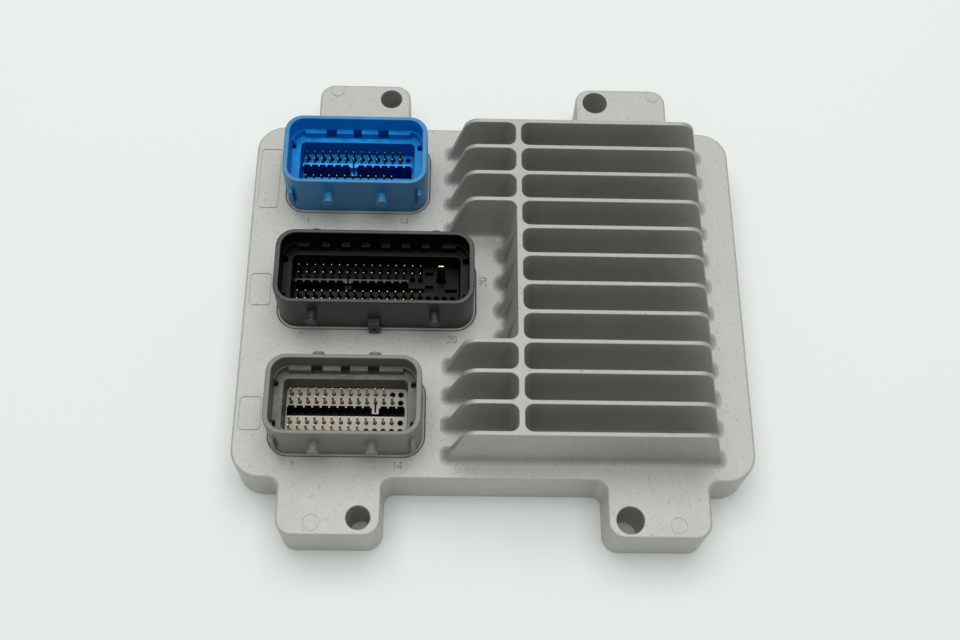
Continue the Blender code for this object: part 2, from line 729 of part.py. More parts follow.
def shell_inside(header):
    """Cutter for the inside of a shell: the mouth down to the step, and the well right through."""
    mouth = header.outline(SHELL_END_WALL, SHELL_SIDE_WALL, SHELL_RADIUS - SHELL_SIDE_WALL)
    well = header.outline(BAND_END, BAND_SIDE, WELL_RADIUS)
    step = RIM - STEP_DEPTH
    rings = loft((well, BOARD_TOP - REACH), (well, step), (mouth, step), (mouth, RIM + REACH))
    return solid("shell_inside", rings)


def ledge_spans(header):
    """Where the ledge is left standing between the keyways, from the left."""
    half = header.well_length / 2 - LEDGE_END
    edges = [-half]
    for index in range(header.keyways):
        middle = (index - (header.keyways - 1) / 2) * header.keyway_pitch
        edges += [middle - KEYWAY_WIDTH / 2, middle + KEYWAY_WIDTH / 2]
    edges.append(half)
    return [(left, right) for left, right in zip(edges[::2], edges[1::2]) if right - left > SINK]


def shell_ledges(header):
    """The raised ledges along both long walls."""
    wall = HEADER_WIDTH / 2 - SHELL_SIDE_WALL
    skins = []
    for left, right in ledge_spans(header):
        back = rectangle(left, right, wall - LEDGE_WIDTH, wall + SINK)
        front = rectangle(left, right, -wall - SINK, LEDGE_WIDTH - wall)
        skins += [prism(outline, RIM - STEP_DEPTH - SINK, RIM - LEDGE_DEPTH) for outline in (back, front)]
    return solid("ledges", *(moved(rings, header.keying_shift) for rings in skins))


def cam_stud():
    """A round stud with a wider head, standing out from the back wall. It runs into the wall by SINK."""
    neck = STUD_LENGTH - STUD_HEAD
    flare = STUD_RADIUS - STUD_SHANK_RADIUS
    stages = (
        (STUD_SHANK_RADIUS, -SINK),
        (STUD_SHANK_RADIUS, neck - flare),
        (STUD_RADIUS, neck),
        (STUD_RADIUS, STUD_LENGTH),
    )
    return [[(-x, y, FACE + STUD_RISE + z) for x, z in circle(radius)] for radius, y in stages]


def wall_block(width, depth, edge, bottom, top, root=SINK):
    """A block on the back wall, with a chamfered upper edge. It runs into the wall by its root."""
    half = width / 2
    base = rectangle(-half, half, -root, depth)
    return loft((base, bottom), (base, top - edge), (rectangle(-half, half, -root, depth - edge), top))


def latch_block(header):
    """The block on the front wall that the plug's latch catches, with a pocket in its front."""
    outside = -HEADER_WIDTH / 2 - LATCH_DEPTH
    half = LATCH_POCKET_WIDTH / 2
    pocket = rectangle(-half, half, outside - REACH, outside + LATCH_POCKET_DEPTH)
    middle = FACE + LATCH_RISE / 2
    height = LATCH_POCKET_HEIGHT / 2
    rings = turned_about(wall_block(LATCH_WIDTH, LATCH_DEPTH, LATCH_EDGE, FACE + GAP, FACE + LATCH_RISE))
    block = solid("latch_block", moved(rings, header.keying_shift, -HEADER_WIDTH / 2))
    cutter = moved(prism(pocket, middle - height, middle + height), header.keying_shift)
    return cut(block, solid("latch_pocket", cutter))


def shell_lugs(header):
    """The cam studs on both long walls, and a tab on each of the front corners."""
    wall = HEADER_WIDTH / 2
    stud = cam_stud()
    tab_root = SINK + TAB_WIDTH / 2
    tab = wall_block(TAB_WIDTH, TAB_DEPTH, TAB_WIDTH / 2, FACE + TAB_BOTTOM, FACE + TAB_TOP, tab_root)
    tab_wall = wall - SHELL_RADIUS + math.sqrt(SHELL_RADIUS**2 - (SHELL_RADIUS - TAB_INSET) ** 2)
    skins = []
    for side in (1, -1):
        x = header.keying_shift + side * header.stud_offset
        skins += [moved(stud, x, wall), moved(turned_about(stud), x, -wall)]
        skins.append(moved(turned_about(tab), side * (header.length / 2 - TAB_INSET), -tab_wall))
    return solid("shell_lugs", *skins)


def place_header_piece(piece, header):
    piece.location.xy = header.centre
    return piece


def header_shell(header):
    shell = solid(f"{header.name}_header_shell", shell_body(header))
    join(shell, shell_lugs(header))
    if header.powered:
        join(shell, latch_block(header))
    cut(shell, shell_inside(header))
    join(shell, shell_ledges(header))
    return place_header_piece(finish(shell, header.shell_colour, 0.45), header)


def trench_outline(header):
    """Outline of the trench between the inner rows.

    Its back edge has a notch at each column but one, where the keying tongue runs in.
    """
    columns = min(header.holes)
    left = header.column_x(0) - TRENCH_END_MARGIN
    right = header.column_x(columns - 1) + TRENCH_END_MARGIN
    outline = [(left, -TRENCH_FRONT), (right, -TRENCH_FRONT), (right, TRENCH_BACK)]
    for column in reversed(range(columns)):
        x = header.column_x(column)
        half = TRENCH_NOTCH_WIDTH / 2
        notch = TRENCH_BACK + (-TONGUE_REACH if column == header.tongue_column else TRENCH_NOTCH)
        outline += [(x + half, TRENCH_BACK), (x + half, notch), (x - half, notch), (x - half, TRENCH_BACK)]
    outline.append((left, TRENCH_BACK))
    return outline


def blade_slot():
    """Cutters for the slot that the power blade stands in, and for the three pockets round it."""
    half_width = BLADE_WIDTH / 2 + BLADE_CLEARANCE
    half_thickness = BLADE_THICKNESS / 2 + BLADE_CLEARANCE
    slot = rectangle(-half_width, half_width, -half_thickness, half_thickness)
    pocket = half_width + POCKET_GAP
    deep = half_thickness + POCKET_GAP
    pockets = (
        rectangle(-pocket - PIN_PITCH, -pocket, deep, deep + PIN_PITCH / 2),
        rectangle(-pocket - PIN_PITCH, -pocket, -deep - PIN_PITCH, -deep),
        rectangle(pocket - PIN_PITCH / 2, pocket + PIN_PITCH, -deep - PIN_PITCH, -deep - PIN_PITCH / 2),
    )
    top = PIN_FLOOR + REACH
    skins = [prism(slot, PIN_FLOOR - BLADE_ROOT - GAP, top)]
    skins += [prism(outline, PIN_FLOOR - POCKET_DEPTH, top) for outline in pockets]
    x = BLACK.column_x(BLADE_COLUMN)
    return solid("blade_slot", *(moved(rings, x, BLADE_OFFSET) for rings in skins))


def pin_block_body(header):
    """The block that stands on the board and makes the well's floor, with its trench and its empty holes."""
    outline = header.outline(BAND_END + GAP, BAND_SIDE + GAP, WELL_RADIUS - GAP)
    block = solid(f"{header.name}_pin_block", prism(outline, BOARD_TOP + GAP, PIN_FLOOR))
    trench = prism(trench_outline(header), PIN_FLOOR - TRENCH_DEPTH, PIN_FLOOR + REACH)
    hole = prism(circle(EMPTY_HOLE_RADIUS, FINE_SIDES), PIN_FLOOR - EMPTY_HOLE_DEPTH, PIN_FLOOR + REACH)
    cut(block, solid("trench", trench), solid("empty_holes", *at_each(hole, header.empty_places())))
    return cut(block, blade_slot()) if header.powered else block


def pin_block(header):
    """The moulded block with the pins that stand in it."""
    half = PIN_WIDTH / 2
    tip = PIN_TIP_WIDTH / 2
    shank = rectangle(-half, half, -half, half)
    pin = loft(
        (shank, PIN_FLOOR - SINK),
        (shank, PIN_TOP - PIN_TAPER),
        (rectangle(-tip, tip, -tip, tip), PIN_TOP),
    )
    block = join(pin_block_body(header), solid("pins", *at_each(pin, header.pin_places())))
    finish(block, header.floor_colour, 0.5)
    block.data.materials.append(surface_material(f"{block.name}_pins", BRASS, 0.3, 1.0))
    for face in block.data.polygons:
        face.material_index = int(face.center.z > PIN_FLOOR + SINK)
    return place_header_piece(block, header)


def power_blade():
    """The flat power contact of the large header, with a bevelled tip."""
    half = BLADE_WIDTH / 2
    thin = BLADE_THICKNESS / 2
    shank = rectangle(-half, half, -thin, thin)
    tip = rectangle(BLADE_TAPER / 2 - half, half - BLADE_TAPER / 2, -thin / 2, thin / 2)
    top = FACE + BLADE_RISE
    rings = loft((shank, PIN_FLOOR - BLADE_ROOT), (shank, top - BLADE_TAPER), (tip, top))
    blade = solid("black_power_blade", moved(rings, BLACK.column_x(BLADE_COLUMN), BLADE_OFFSET))
    return place_header_piece(finish(blade, BRASS, 0.25, 1.0), BLACK)


def sealant_bead(header):
    """The ring of sealant that fills the slit between a shell and the cover."""
    steps = WIDE_ARC_STEPS
    inner = header.outline(-GAP, -GAP, SHELL_RADIUS + GAP, steps)
    margin = GAP + BEAD_WIDTH
    outer = header.outline(-margin, -margin, SHELL_RADIUS + margin, steps)
    bead = solid(f"{header.name}_sealant_bead", prism(outer, CEILING, FACE + BEAD_PROUD))
    cut(bead, solid("bead_hole", prism(inner, CEILING - REACH, FACE + REACH)))
    return place_header_piece(finish(bead, SILICONE, 0.6), header)


# Back plate, its seal and its screws

def countersink(margin):
    """A flat screw head, wider by a margin all round, with its shank as far as the plate's inner face."""
    head = PLATE_SCREW_HEAD + margin
    shank = PLATE_SCREW_RADIUS + margin
    bottom = PLATE_RECESS
    return bottom, head, bottom + head - shank, shank


def back_plate():
    """The recessed sheet that closes the back: a shallow pressed panel, and a countersink for each screw."""
    inset = SIDE_WALL - SHOULDER_WIDTH + GAP
    plate = solid("back_plate", prism(body_outline(inset, ARC_STEPS + 1), PLATE_RECESS, PLATE_TOP))
    length = BODY_LENGTH - 2 * PANEL_MARGIN
    width = BODY_WIDTH - 2 * PANEL_MARGIN
    foot = rounded_rectangle(length, width, PANEL_RADIUS)
    crown = rounded_rectangle(length - 2 * PANEL_RAMP, width - 2 * PANEL_RAMP, PANEL_RADIUS - PANEL_RAMP)
    raised = loft((foot, PLATE_TOP - SINK), (foot, PLATE_TOP), (crown, PLATE_TOP + PANEL_RISE))
    pressed = loft((foot, PLATE_RECESS - REACH), (foot, PLATE_RECESS), (crown, PLATE_RECESS + PANEL_RISE))
    join(plate, solid("raised_panel", raised))
    cut(plate, solid("pressed_panel", pressed))
    bottom, head, neck, shank = countersink(GAP)
    wide = circle(head)
    narrow = circle(shank)
    hole = loft((wide, bottom - REACH), (wide, bottom), (narrow, neck), (narrow, PLATE_TOP + REACH))
    cut(plate, solid("screw_holes", *at_each(hole, plate_screw_places())))
    return finish(plate, SHEET_METAL, 0.4, 1.0)


def housing_seal():
    """The flat gasket between the back plate and the cover's shoulder."""
    outer = body_outline(SIDE_WALL - SHOULDER_WIDTH + GAP, ARC_STEPS + 1)
    inner = body_outline(SIDE_WALL - SEAL_INSET, ARC_STEPS + 1)
    bottom = PLATE_TOP + GAP
    top = bottom + SEAL_THICKNESS
    seal = solid("housing_seal", prism(outer, bottom, top))
    cut(seal, solid("seal_hole", prism(inner, bottom - REACH, top + REACH)))
    return finish(seal, SILICONE, 0.7)


def drive_socket(bottom):
    """Cutter for the six-sided socket in a screw's head."""
    return solid("drive", prism(circle(DRIVE_RADIUS, 6), bottom - REACH, bottom + DRIVE_DEPTH))


def plate_screw_end():
    return PLATE_RECESS + PLATE_SCREW_LENGTH


def board_screw_end():
    return BOARD_BOTTOM - GAP + BOARD_SCREW_LENGTH


def plate_screws():
    made = []
    bottom, head, neck, shank = countersink(0)
    rings = loft((circle(head), bottom), (circle(shank), neck), (circle(shank), plate_screw_end()))
    for number, (x, y) in enumerate(plate_screw_places(), 1):
        screw = cut(solid(f"back_plate_screw_{number}", rings), drive_socket(bottom))
        screw.location.xy = (x, y)
        made.append(finish(screw, STEEL, 0.35, 1.0))
    return made


def board_screws():
    made = []
    seat = BOARD_BOTTOM - GAP
    bottom = seat - BOARD_SCREW_HEAD_HEIGHT
    head = circle(BOARD_SCREW_HEAD, FINE_SIDES)
    shank = circle(BOARD_SCREW_RADIUS, FINE_SIDES)
    rings = loft((head, bottom), (head, seat), (shank, seat), (shank, board_screw_end()))
    for number, (x, y) in enumerate(board_screw_places(), 1):
        screw = cut(solid(f"board_screw_{number}", rings), drive_socket(bottom))
        screw.location.xy = (x, y)
        made.append(finish(screw, STEEL, 0.35, 1.0))
    return made


# Circuit board and what stands on it

def circuit_board():
    """The board, notched round the cover's bosses and drilled for its own screws."""
    board = solid(
        "circuit_board",
        prism(rounded_rectangle(BOARD_LENGTH, BOARD_WIDTH, BOARD_RADIUS), BOARD_BOTTOM, BOARD_TOP),
    )
    notch = prism(circle(PLATE_BOSS_RADIUS + BOSS_CLEARANCE), BOARD_BOTTOM - REACH, BOARD_TOP + REACH)
    hole = prism(circle(BOARD_SCREW_RADIUS + GAP, FINE_SIDES), BOARD_BOTTOM - REACH, BOARD_TOP + REACH)
    cut(board, solid("notches", *at_each(notch, plate_screw_places())))
    cut(board, solid("holes", *at_each(hole, board_screw_places())))
    return finish(board, BOARD_GREEN, 0.4)


def chip(part, x):
    """A moulded case that is widest at the middle of its height, where its leads leave it."""
    bottom = BOARD_TOP + GAP
    half_length = part.length / 2
    half_width = part.width / 2
    wide = rectangle(-half_length, half_length, -half_width, half_width)
    half_length -= CHIP_TAPER
    half_width -= CHIP_TAPER
    narrow = rectangle(-half_length, half_length, -half_width, half_width)
    rings = loft((narrow, bottom), (wide, bottom + part.height / 2), (narrow, bottom + part.height))
    made = solid(part.name, rings)
    made.location.xy = (x, part.y)
    return finish(made, part.colour, 0.5)


def driver_chips():
    """The driver chips under the fins, each with the thermal pad that joins it to the cover's pedestal."""
    made = []
    half = DRIVER_SIZE / 2 - THERMAL_PAD_MARGIN
    pad_bottom = BOARD_TOP + 2 * GAP + DRIVER_HEIGHT
    pad_rings = prism(rectangle(-half, half, -half, half), pad_bottom, pad_bottom + THERMAL_PAD_THICKNESS)
    for number in range(1, DRIVER_COUNT + 1):
        y = ((DRIVER_COUNT + 1) / 2 - number) * DRIVER_PITCH
        driver = Chip(f"driver_chip_{number}", DRIVER_SIZE, DRIVER_SIZE, DRIVER_HEIGHT, y)
        made.append(chip(driver, DRIVER_X))
        pad = solid(f"thermal_pad_{number}", pad_rings)
        pad.location.xy = (DRIVER_X, y)
        made.append(finish(pad, PAD_GREY, 0.8))
    return made


def logic_chips():
    """The processor, memory and clock, and the power supply with its coil, in a column by the drivers."""
    return [chip(part, DRIVER_X - LOGIC_SETBACK) for part in LOGIC_CHIPS]


def capacitors():
    """Round smoothing capacitors in cans with a rolled groove near the top."""
    bottom = BOARD_TOP + GAP
    top = bottom + CAPACITOR_HEIGHT
    groove = top - CAPACITOR_GROOVE
    wide = circle(CAPACITOR_RADIUS)
    narrow = circle(CAPACITOR_TOP_RADIUS)
    half_groove = (CAPACITOR_RADIUS - CAPACITOR_TOP_RADIUS) / 2
    rings = loft(
        (wide, bottom),
        (wide, groove - half_groove),
        (narrow, groove),
        (wide, groove + half_groove),
        (wide, top - half_groove),
        (narrow, top),
    )
    for number in range(1, CAPACITOR_COUNT + 1):
        can = solid(f"capacitor_{number}", rings)
        row = (number - (CAPACITOR_COUNT + 1) / 2) * CAPACITOR_PITCH
        can.location.xy = (SPINE_X + row + CAPACITOR_PITCH, -BOARD_WIDTH / 2 + CAPACITOR_PITCH)
        finish(can, CAN_SILVER, 0.3, 1.0)


def main():
    for old in list(bpy.data.objects):
        bpy.data.objects.remove(old)
    cast_housing()
    back_plate()
    housing_seal()
    plate_screws()
    circuit_board()
    board_screws()
    driver_chips()
    logic_chips()
    capacitors()
    for header in HEADERS:
        header_shell(header)
        pin_block(header)
        sealant_bead(header)
    power_blade()


if __name__ == "__main__":
    main()
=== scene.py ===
"""Engine control unit: a die-cast cover with cooling fins, three pin headers and a recessed back plate.

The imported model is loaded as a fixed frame. Finer pieces stand for the casting, the headers, the back plate
and their screws, and every piece gets its own procedural finish. Lengths are in millimetres until a piece is
made.
"""
import logging
import math
from collections.abc import Callable, Iterable, Sequence
from dataclasses import dataclass, field
from enum import Enum, IntEnum
from functools import cache

import bmesh
import bpy
from mathutils import Matrix, Vector


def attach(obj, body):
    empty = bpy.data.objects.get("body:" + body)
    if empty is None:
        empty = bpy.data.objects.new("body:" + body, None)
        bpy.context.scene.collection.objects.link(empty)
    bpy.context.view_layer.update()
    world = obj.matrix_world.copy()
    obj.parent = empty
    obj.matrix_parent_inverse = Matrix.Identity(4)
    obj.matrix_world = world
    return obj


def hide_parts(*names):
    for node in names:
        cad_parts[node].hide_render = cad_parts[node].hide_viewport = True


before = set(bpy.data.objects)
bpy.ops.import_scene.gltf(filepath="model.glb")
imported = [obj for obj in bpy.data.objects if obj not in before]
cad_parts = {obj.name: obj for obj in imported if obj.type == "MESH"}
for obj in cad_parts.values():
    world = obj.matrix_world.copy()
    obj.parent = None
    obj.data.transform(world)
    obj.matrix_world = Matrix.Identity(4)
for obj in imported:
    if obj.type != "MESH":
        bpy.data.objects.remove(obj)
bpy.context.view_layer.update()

LOG = logging.getLogger("control_unit")
MM = 0.001
QUARTER = math.pi / 2
OVERRUN = 2.0  # how far a cutter runs past what it cuts
ROOT = 0.5  # how far an added shape is sunk into what carries it
SHARP = math.radians(38.0)  # an edge that turns further than this stays sharp

Point = tuple[float, float]
Place = tuple[float, float, float]
Outline = list[Point]
Ring = list[Place]
Colour = tuple[float, float, float]
Value = Colour | float
Feed = bpy.types.NodeSocket | Value
Sockets = dict[str, bpy.types.NodeSocket]


# Outlines and skins

def arc(centre: Point, radius: float, start: float, end: float, steps: int) -> Outline:
    """Points on an arc.

    Args:
        centre: Middle of the arc.
        radius: Its radius.
        start: Angle of the first point.
        end: Angle of the last point.
        steps: Number of flats.

    Returns:
        The points, both ends included.
    """
    angles = [start + (end - start) * step / steps for step in range(steps + 1)]
    return [(centre[0] + radius * math.cos(angle), centre[1] + radius * math.sin(angle)) for angle in angles]


def quarter_turn(steps: int) -> list[float]:
    """Angles that part a quarter turn into equal steps, both ends included."""
    return [QUARTER * step / steps for step in range(steps + 1)]


def circle(radius: float, sides: int = 24) -> Outline:
    """A closed circle round the origin."""
    return arc((0.0, 0.0), radius, 0.0, 4 * QUARTER, sides)[:-1]


def rounded_rectangle(length: float, width: float, radius: float, steps: int = 6) -> Outline:
    """Outline of a rectangle with rounded corners.

    Args:
        length: Size along X.
        width: Size along Y.
        radius: Corner radius.
        steps: Flats on a corner.

    Returns:
        The outline, anticlockwise round the origin.
    """
    x = length / 2 - radius
    y = width / 2 - radius
    outline: Outline = []
    for quarter, corner in enumerate(((x, y), (-x, y), (-x, -y), (x, -y))):
        outline += arc(corner, radius, quarter * QUARTER, (quarter + 1) * QUARTER, steps)
    return outline


def level(outline: Iterable[Point], z: float) -> Ring:
    """The outline as a ring at one height."""
    return [(x, y, z) for x, y in outline]


def moved(rings: Iterable[Ring], x: float = 0.0, y: float = 0.0) -> list[Ring]:
    """The rings, shifted in plan."""
    return [[(px + x, py + y, z) for px, py, z in ring] for ring in rings]


def turned_about(rings: Iterable[Ring]) -> list[Ring]:
    """The rings turned half a turn about Z."""
    return [[(-x, -y, z) for x, y, z in ring] for ring in rings]


def prism(outline: Outline, bottom: float, top: float) -> list[Ring]:
    """Rings of a straight prism."""
    return [level(outline, bottom), level(outline, top)]


def rounded_prism(outline_at: Callable[[float], Outline], bottom: float, top: float, radius: float,
                  steps: int = 3) -> list[Ring]:
    """A prism whose top edge is rounded.

    Args:
        outline_at: Gives the outline at an inset.
        bottom: Height of the foot.
        top: Height of the top.
        radius: Radius of the top edge.
        steps: Flats on that edge.

    Returns:
        Its rings from the foot up.
    """
    rings = [level(outline_at(0.0), bottom)]
    for angle in quarter_turn(steps):
        inset = radius * (1 - math.cos(angle))
        rings.append(level(outline_at(inset), top - radius + radius * math.sin(angle)))
    return rings


class Form:
    """Closed skins that become one mesh object."""

    def __init__(self, name: str) -> None:
        """Starts an empty form."""
        self.name = name
        self.mesh = bmesh.new()

    def skin(self, rings: Sequence[Ring], around: bool = False) -> "Form":
        """Adds a closed skin.

        Args:
            rings: Rings with equal numbers of points.
            around: True joins the last ring to the first, False closes both with a face.

        Returns:
            The form itself.
        """
        loops = [[self.mesh.verts.new([value * MM for value in point]) for point in ring] for ring in rings]
        pairs = list(zip(loops, loops[1:]))
        if around:
            pairs.append((loops[-1], loops[0]))
        else:
            self.mesh.faces.new(reversed(loops[0]))
            self.mesh.faces.new(loops[-1])
        for lower, upper in pairs:
            for index, vertex in enumerate(lower):
                following = (index + 1) % len(lower)
                self.mesh.faces.new((vertex, lower[following], upper[following], upper[index]))
        return self

    def skins(self, several: Iterable[Sequence[Ring]]) -> "Form":
        """Adds several closed skins.

        Args:
            several: The rings of each skin.

        Returns:
            The form itself.
        """
        for rings in several:
            self.skin(rings)
        return self

    def made(self) -> bpy.types.Object:
        """Turns the form's faces out and makes it an object.

        Returns:
            The object, in the scene.
        """
        bmesh.ops.recalc_face_normals(self.mesh, faces=self.mesh.faces[:])
        data = bpy.data.meshes.new(self.name)
        self.mesh.to_mesh(data)
        self.mesh.free()
        thing = bpy.data.objects.new(self.name, data)
        bpy.context.scene.collection.objects.link(thing)
        return thing


class Joining(Enum):
    """What a Boolean does with its tools."""

    ADD = "UNION"
    CUT = "DIFFERENCE"


def combined(carrier: bpy.types.Object, joining: Joining,
             tools: Sequence[bpy.types.Object]) -> bpy.types.Object:
    """Applies Booleans to a carrier.

    Args:
        carrier: The object that stays.
        joining: Whether the tools are added or cut away.
        tools: Objects that are used up.

    Returns:
        The carrier.
    """
    for tool in tools:
        modifier = carrier.modifiers.new(joining.name, "BOOLEAN")
        modifier.operation = joining.value
        modifier.solver = "EXACT"
        modifier.object = tool
    graph = bpy.context.evaluated_depsgraph_get()
    data = bpy.data.meshes.new_from_object(carrier.evaluated_get(graph))
    carrier.modifiers.clear()
    carrier.data = data
    for tool in tools:
        bpy.data.objects.remove(tool)
    return carrier


def shift(thing: bpy.types.Object, place: Point) -> bpy.types.Object:
    """Moves a piece's mesh in plan, which leaves its object at the origin."""
    thing.data.transform(Matrix.Translation((place[0] * MM, place[1] * MM, 0.0)))
    return thing


def shaded(thing: bpy.types.Object) -> bpy.types.Object:
    """Smooths the shading between sharp edges and keeps flat faces flat.

    Args:
        thing: The piece.

    Returns:
        The piece.
    """
    thing.data.shade_smooth()
    thing.data.set_sharp_from_angle(angle=SHARP)
    weighted = thing.modifiers.new("Even shading", "WEIGHTED_NORMAL")
    weighted.keep_sharp = True
    return thing


def placed(thing: bpy.types.Object, slot: str, stands_for: Sequence[str] = ()) -> None:
    """Fixes a finished piece to the unit and reports it.

    Args:
        thing: The piece.
        slot: Material slot of the record that it stands for, which is only reported.
        stands_for: CAD nodes that it replaces.
    """
    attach(thing, "root")
    if stands_for:
        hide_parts(*stands_for)
    LOG.info("%s: %d faces, %s", thing.name, len(thing.data.polygons), slot)


# Finishes

class Wires:
    """Short calls for making and joining shader nodes in one tree."""

    def __init__(self, tree: bpy.types.NodeTree) -> None:
        """Keeps the tree that the nodes go into."""
        self.tree = tree

    def node(self, kind: str, **values: object) -> bpy.types.Node:
        """Adds a node.

        Args:
            kind: Its type, without the ShaderNode that each one starts with.
            values: Properties by name.

        Returns:
            The node.
        """
        made = self.tree.nodes.new(f"ShaderNode{kind}")
        for name, value in values.items():
            setattr(made, name, value)
        return made

    def link(self, source: bpy.types.NodeSocket, target: bpy.types.NodeSocket) -> None:
        """Joins an output to an input."""
        self.tree.links.new(source, target)

    def feed(self, value: Feed, target: bpy.types.NodeSocket) -> None:
        """Joins an output to an input, or sets the input.

        Args:
            value: The output, or a number or colour.
            target: The input.
        """
        if isinstance(value, bpy.types.NodeSocket):
            self.link(value, target)
        else:
            target.default_value = (*value, 1.0) if isinstance(value, tuple) else value

    def maths(self, operation: str, first: Feed, second: Feed,
              clamp: bool = False) -> bpy.types.NodeSocket:
        """Adds a Math node.

        Args:
            operation: What it does.
            first: Its first input.
            second: Its second input.
            clamp: True holds the result between 0 and 1.

        Returns:
            The result.
        """
        made = self.node("Math", operation=operation, use_clamp=clamp)
        for socket, value in zip(made.inputs, (first, second)):
            self.feed(value, socket)
        return made.outputs[0]

    def mixed(self, first: Feed, first_part: float, second: Feed,
              second_part: float) -> bpy.types.NodeSocket:
        """The sum of a part of one value and a part of another."""
        return self.maths("ADD", self.maths("MULTIPLY", first, first_part),
                          self.maths("MULTIPLY", second, second_part))

    def spread(self, value: bpy.types.NodeSocket, low: float, high: float, to_low: float = 0.0,
               to_high: float = 1.0) -> bpy.types.NodeSocket:
        """Takes a value from one range to another and holds it inside that.

        Args:
            value: The value.
            low: Start of its range.
            high: End of its range.
            to_low: What the start becomes.
            to_high: What the end becomes.

        Returns:
            The result.
        """
        made = self.node("MapRange")
        self.link(value, made.inputs["Value"])
        made.inputs["From Min"].default_value = low
        made.inputs["From Max"].default_value = high
        made.inputs["To Min"].default_value = to_low
        made.inputs["To Max"].default_value = to_high
        return made.outputs["Result"]

    def noise(self, where: bpy.types.NodeSocket, scale: float, detail: float,
              roughness: float) -> bpy.types.NodeSocket:
        """Adds a noise.

        Args:
            where: Place on the surface.
            scale: Features per metre.
            detail: How many finer layers it has.
            roughness: Strength of the finer layers.

        Returns:
            Its value.
        """
        made = self.node("TexNoise")
        self.link(where, made.inputs["Vector"])
        made.inputs["Scale"].default_value = scale
        made.inputs["Detail"].default_value = detail
        made.inputs["Roughness"].default_value = roughness
        return made.outputs["Fac"]

    def swing(self, where: bpy.types.NodeSocket, scale: float, detail: float,
              roughness: float) -> bpy.types.NodeSocket:
        """A noise that runs from -1 to 1."""
        return self.spread(self.noise(where, scale, detail, roughness), 0.3, 0.7, -1.0, 1.0)

    def scaled(self, where: bpy.types.NodeSocket, scale: bpy.types.NodeSocket) -> bpy.types.NodeSocket:
        """Multiplies a place by a scale.

        Args:
            where: The place.
            scale: The scale.

        Returns:
            The product.
        """
        made = self.node("VectorMath", operation="SCALE")
        self.link(where, made.inputs[0])
        self.link(scale, made.inputs["Scale"])
        return made.outputs[0]

    def tinted(self, colour: bpy.types.NodeSocket, shade: bpy.types.NodeSocket) -> bpy.types.NodeSocket:
        """Multiplies a colour by a shade.

        Args:
            colour: The colour.
            shade: A value round 1.

        Returns:
            The product.
        """
        combine = self.node("CombineXYZ")
        for socket in combine.inputs:
            self.link(shade, socket)
        made = self.node("VectorMath", operation="MULTIPLY")
        self.link(colour, made.inputs[0])
        self.link(combine.outputs[0], made.inputs[1])
        return made.outputs[0]

    def blend(self, share: Feed, first: Feed, second: Feed) -> bpy.types.NodeSocket:
        """Blends two colours.

        Args:
            share: Share of the second colour.
            first: The first colour.
            second: The second colour.

        Returns:
            The blend.
        """
        made = self.node("Mix", data_type="RGBA")
        for socket, value in ((made.inputs[0], share), (made.inputs[6], first), (made.inputs[7], second)):
            self.feed(value, socket)
        return made.outputs[2]

    def group(self, tree: bpy.types.NodeTree, values: dict[str, Value]) -> bpy.types.Node:
        """Places a node group.

        Args:
            tree: The group.
            values: Its inputs by name.

        Returns:
            The group's node.
        """
        made = self.node("Group", node_tree=tree)
        for name, value in values.items():
            self.feed(value, made.inputs[name])
        return made


def new_effect(name: str, inputs: dict[str, Value]) -> tuple[Wires, Sockets, Sockets]:
    """An empty shader node group that puts out a colour, a change of roughness and a height.

    Args:
        name: Its name.
        inputs: Start value of each input; a tuple makes a colour.

    Returns:
        Its wires, the sockets that bring values in and the sockets that take them out.
    """
    tree = bpy.data.node_groups.new(name, "ShaderNodeTree")
    for label, start in inputs.items():
        kind = "NodeSocketColor" if isinstance(start, tuple) else "NodeSocketFloat"
        socket = tree.interface.new_socket(label, in_out="INPUT", socket_type=kind)
        socket.default_value = (*start, 1.0) if isinstance(start, tuple) else start
    outputs = {"Colour": "NodeSocketColor", "Roughness": "NodeSocketFloat", "Height": "NodeSocketFloat"}
    for label, kind in outputs.items():
        tree.interface.new_socket(label, in_out="OUTPUT", socket_type=kind)
    entry = tree.nodes.new("NodeGroupInput")
    leave = tree.nodes.new("NodeGroupOutput")
    given = {label: entry.outputs[label] for label in inputs}
    out = {label: leave.inputs[label] for label in outputs}
    return Wires(tree), given, out


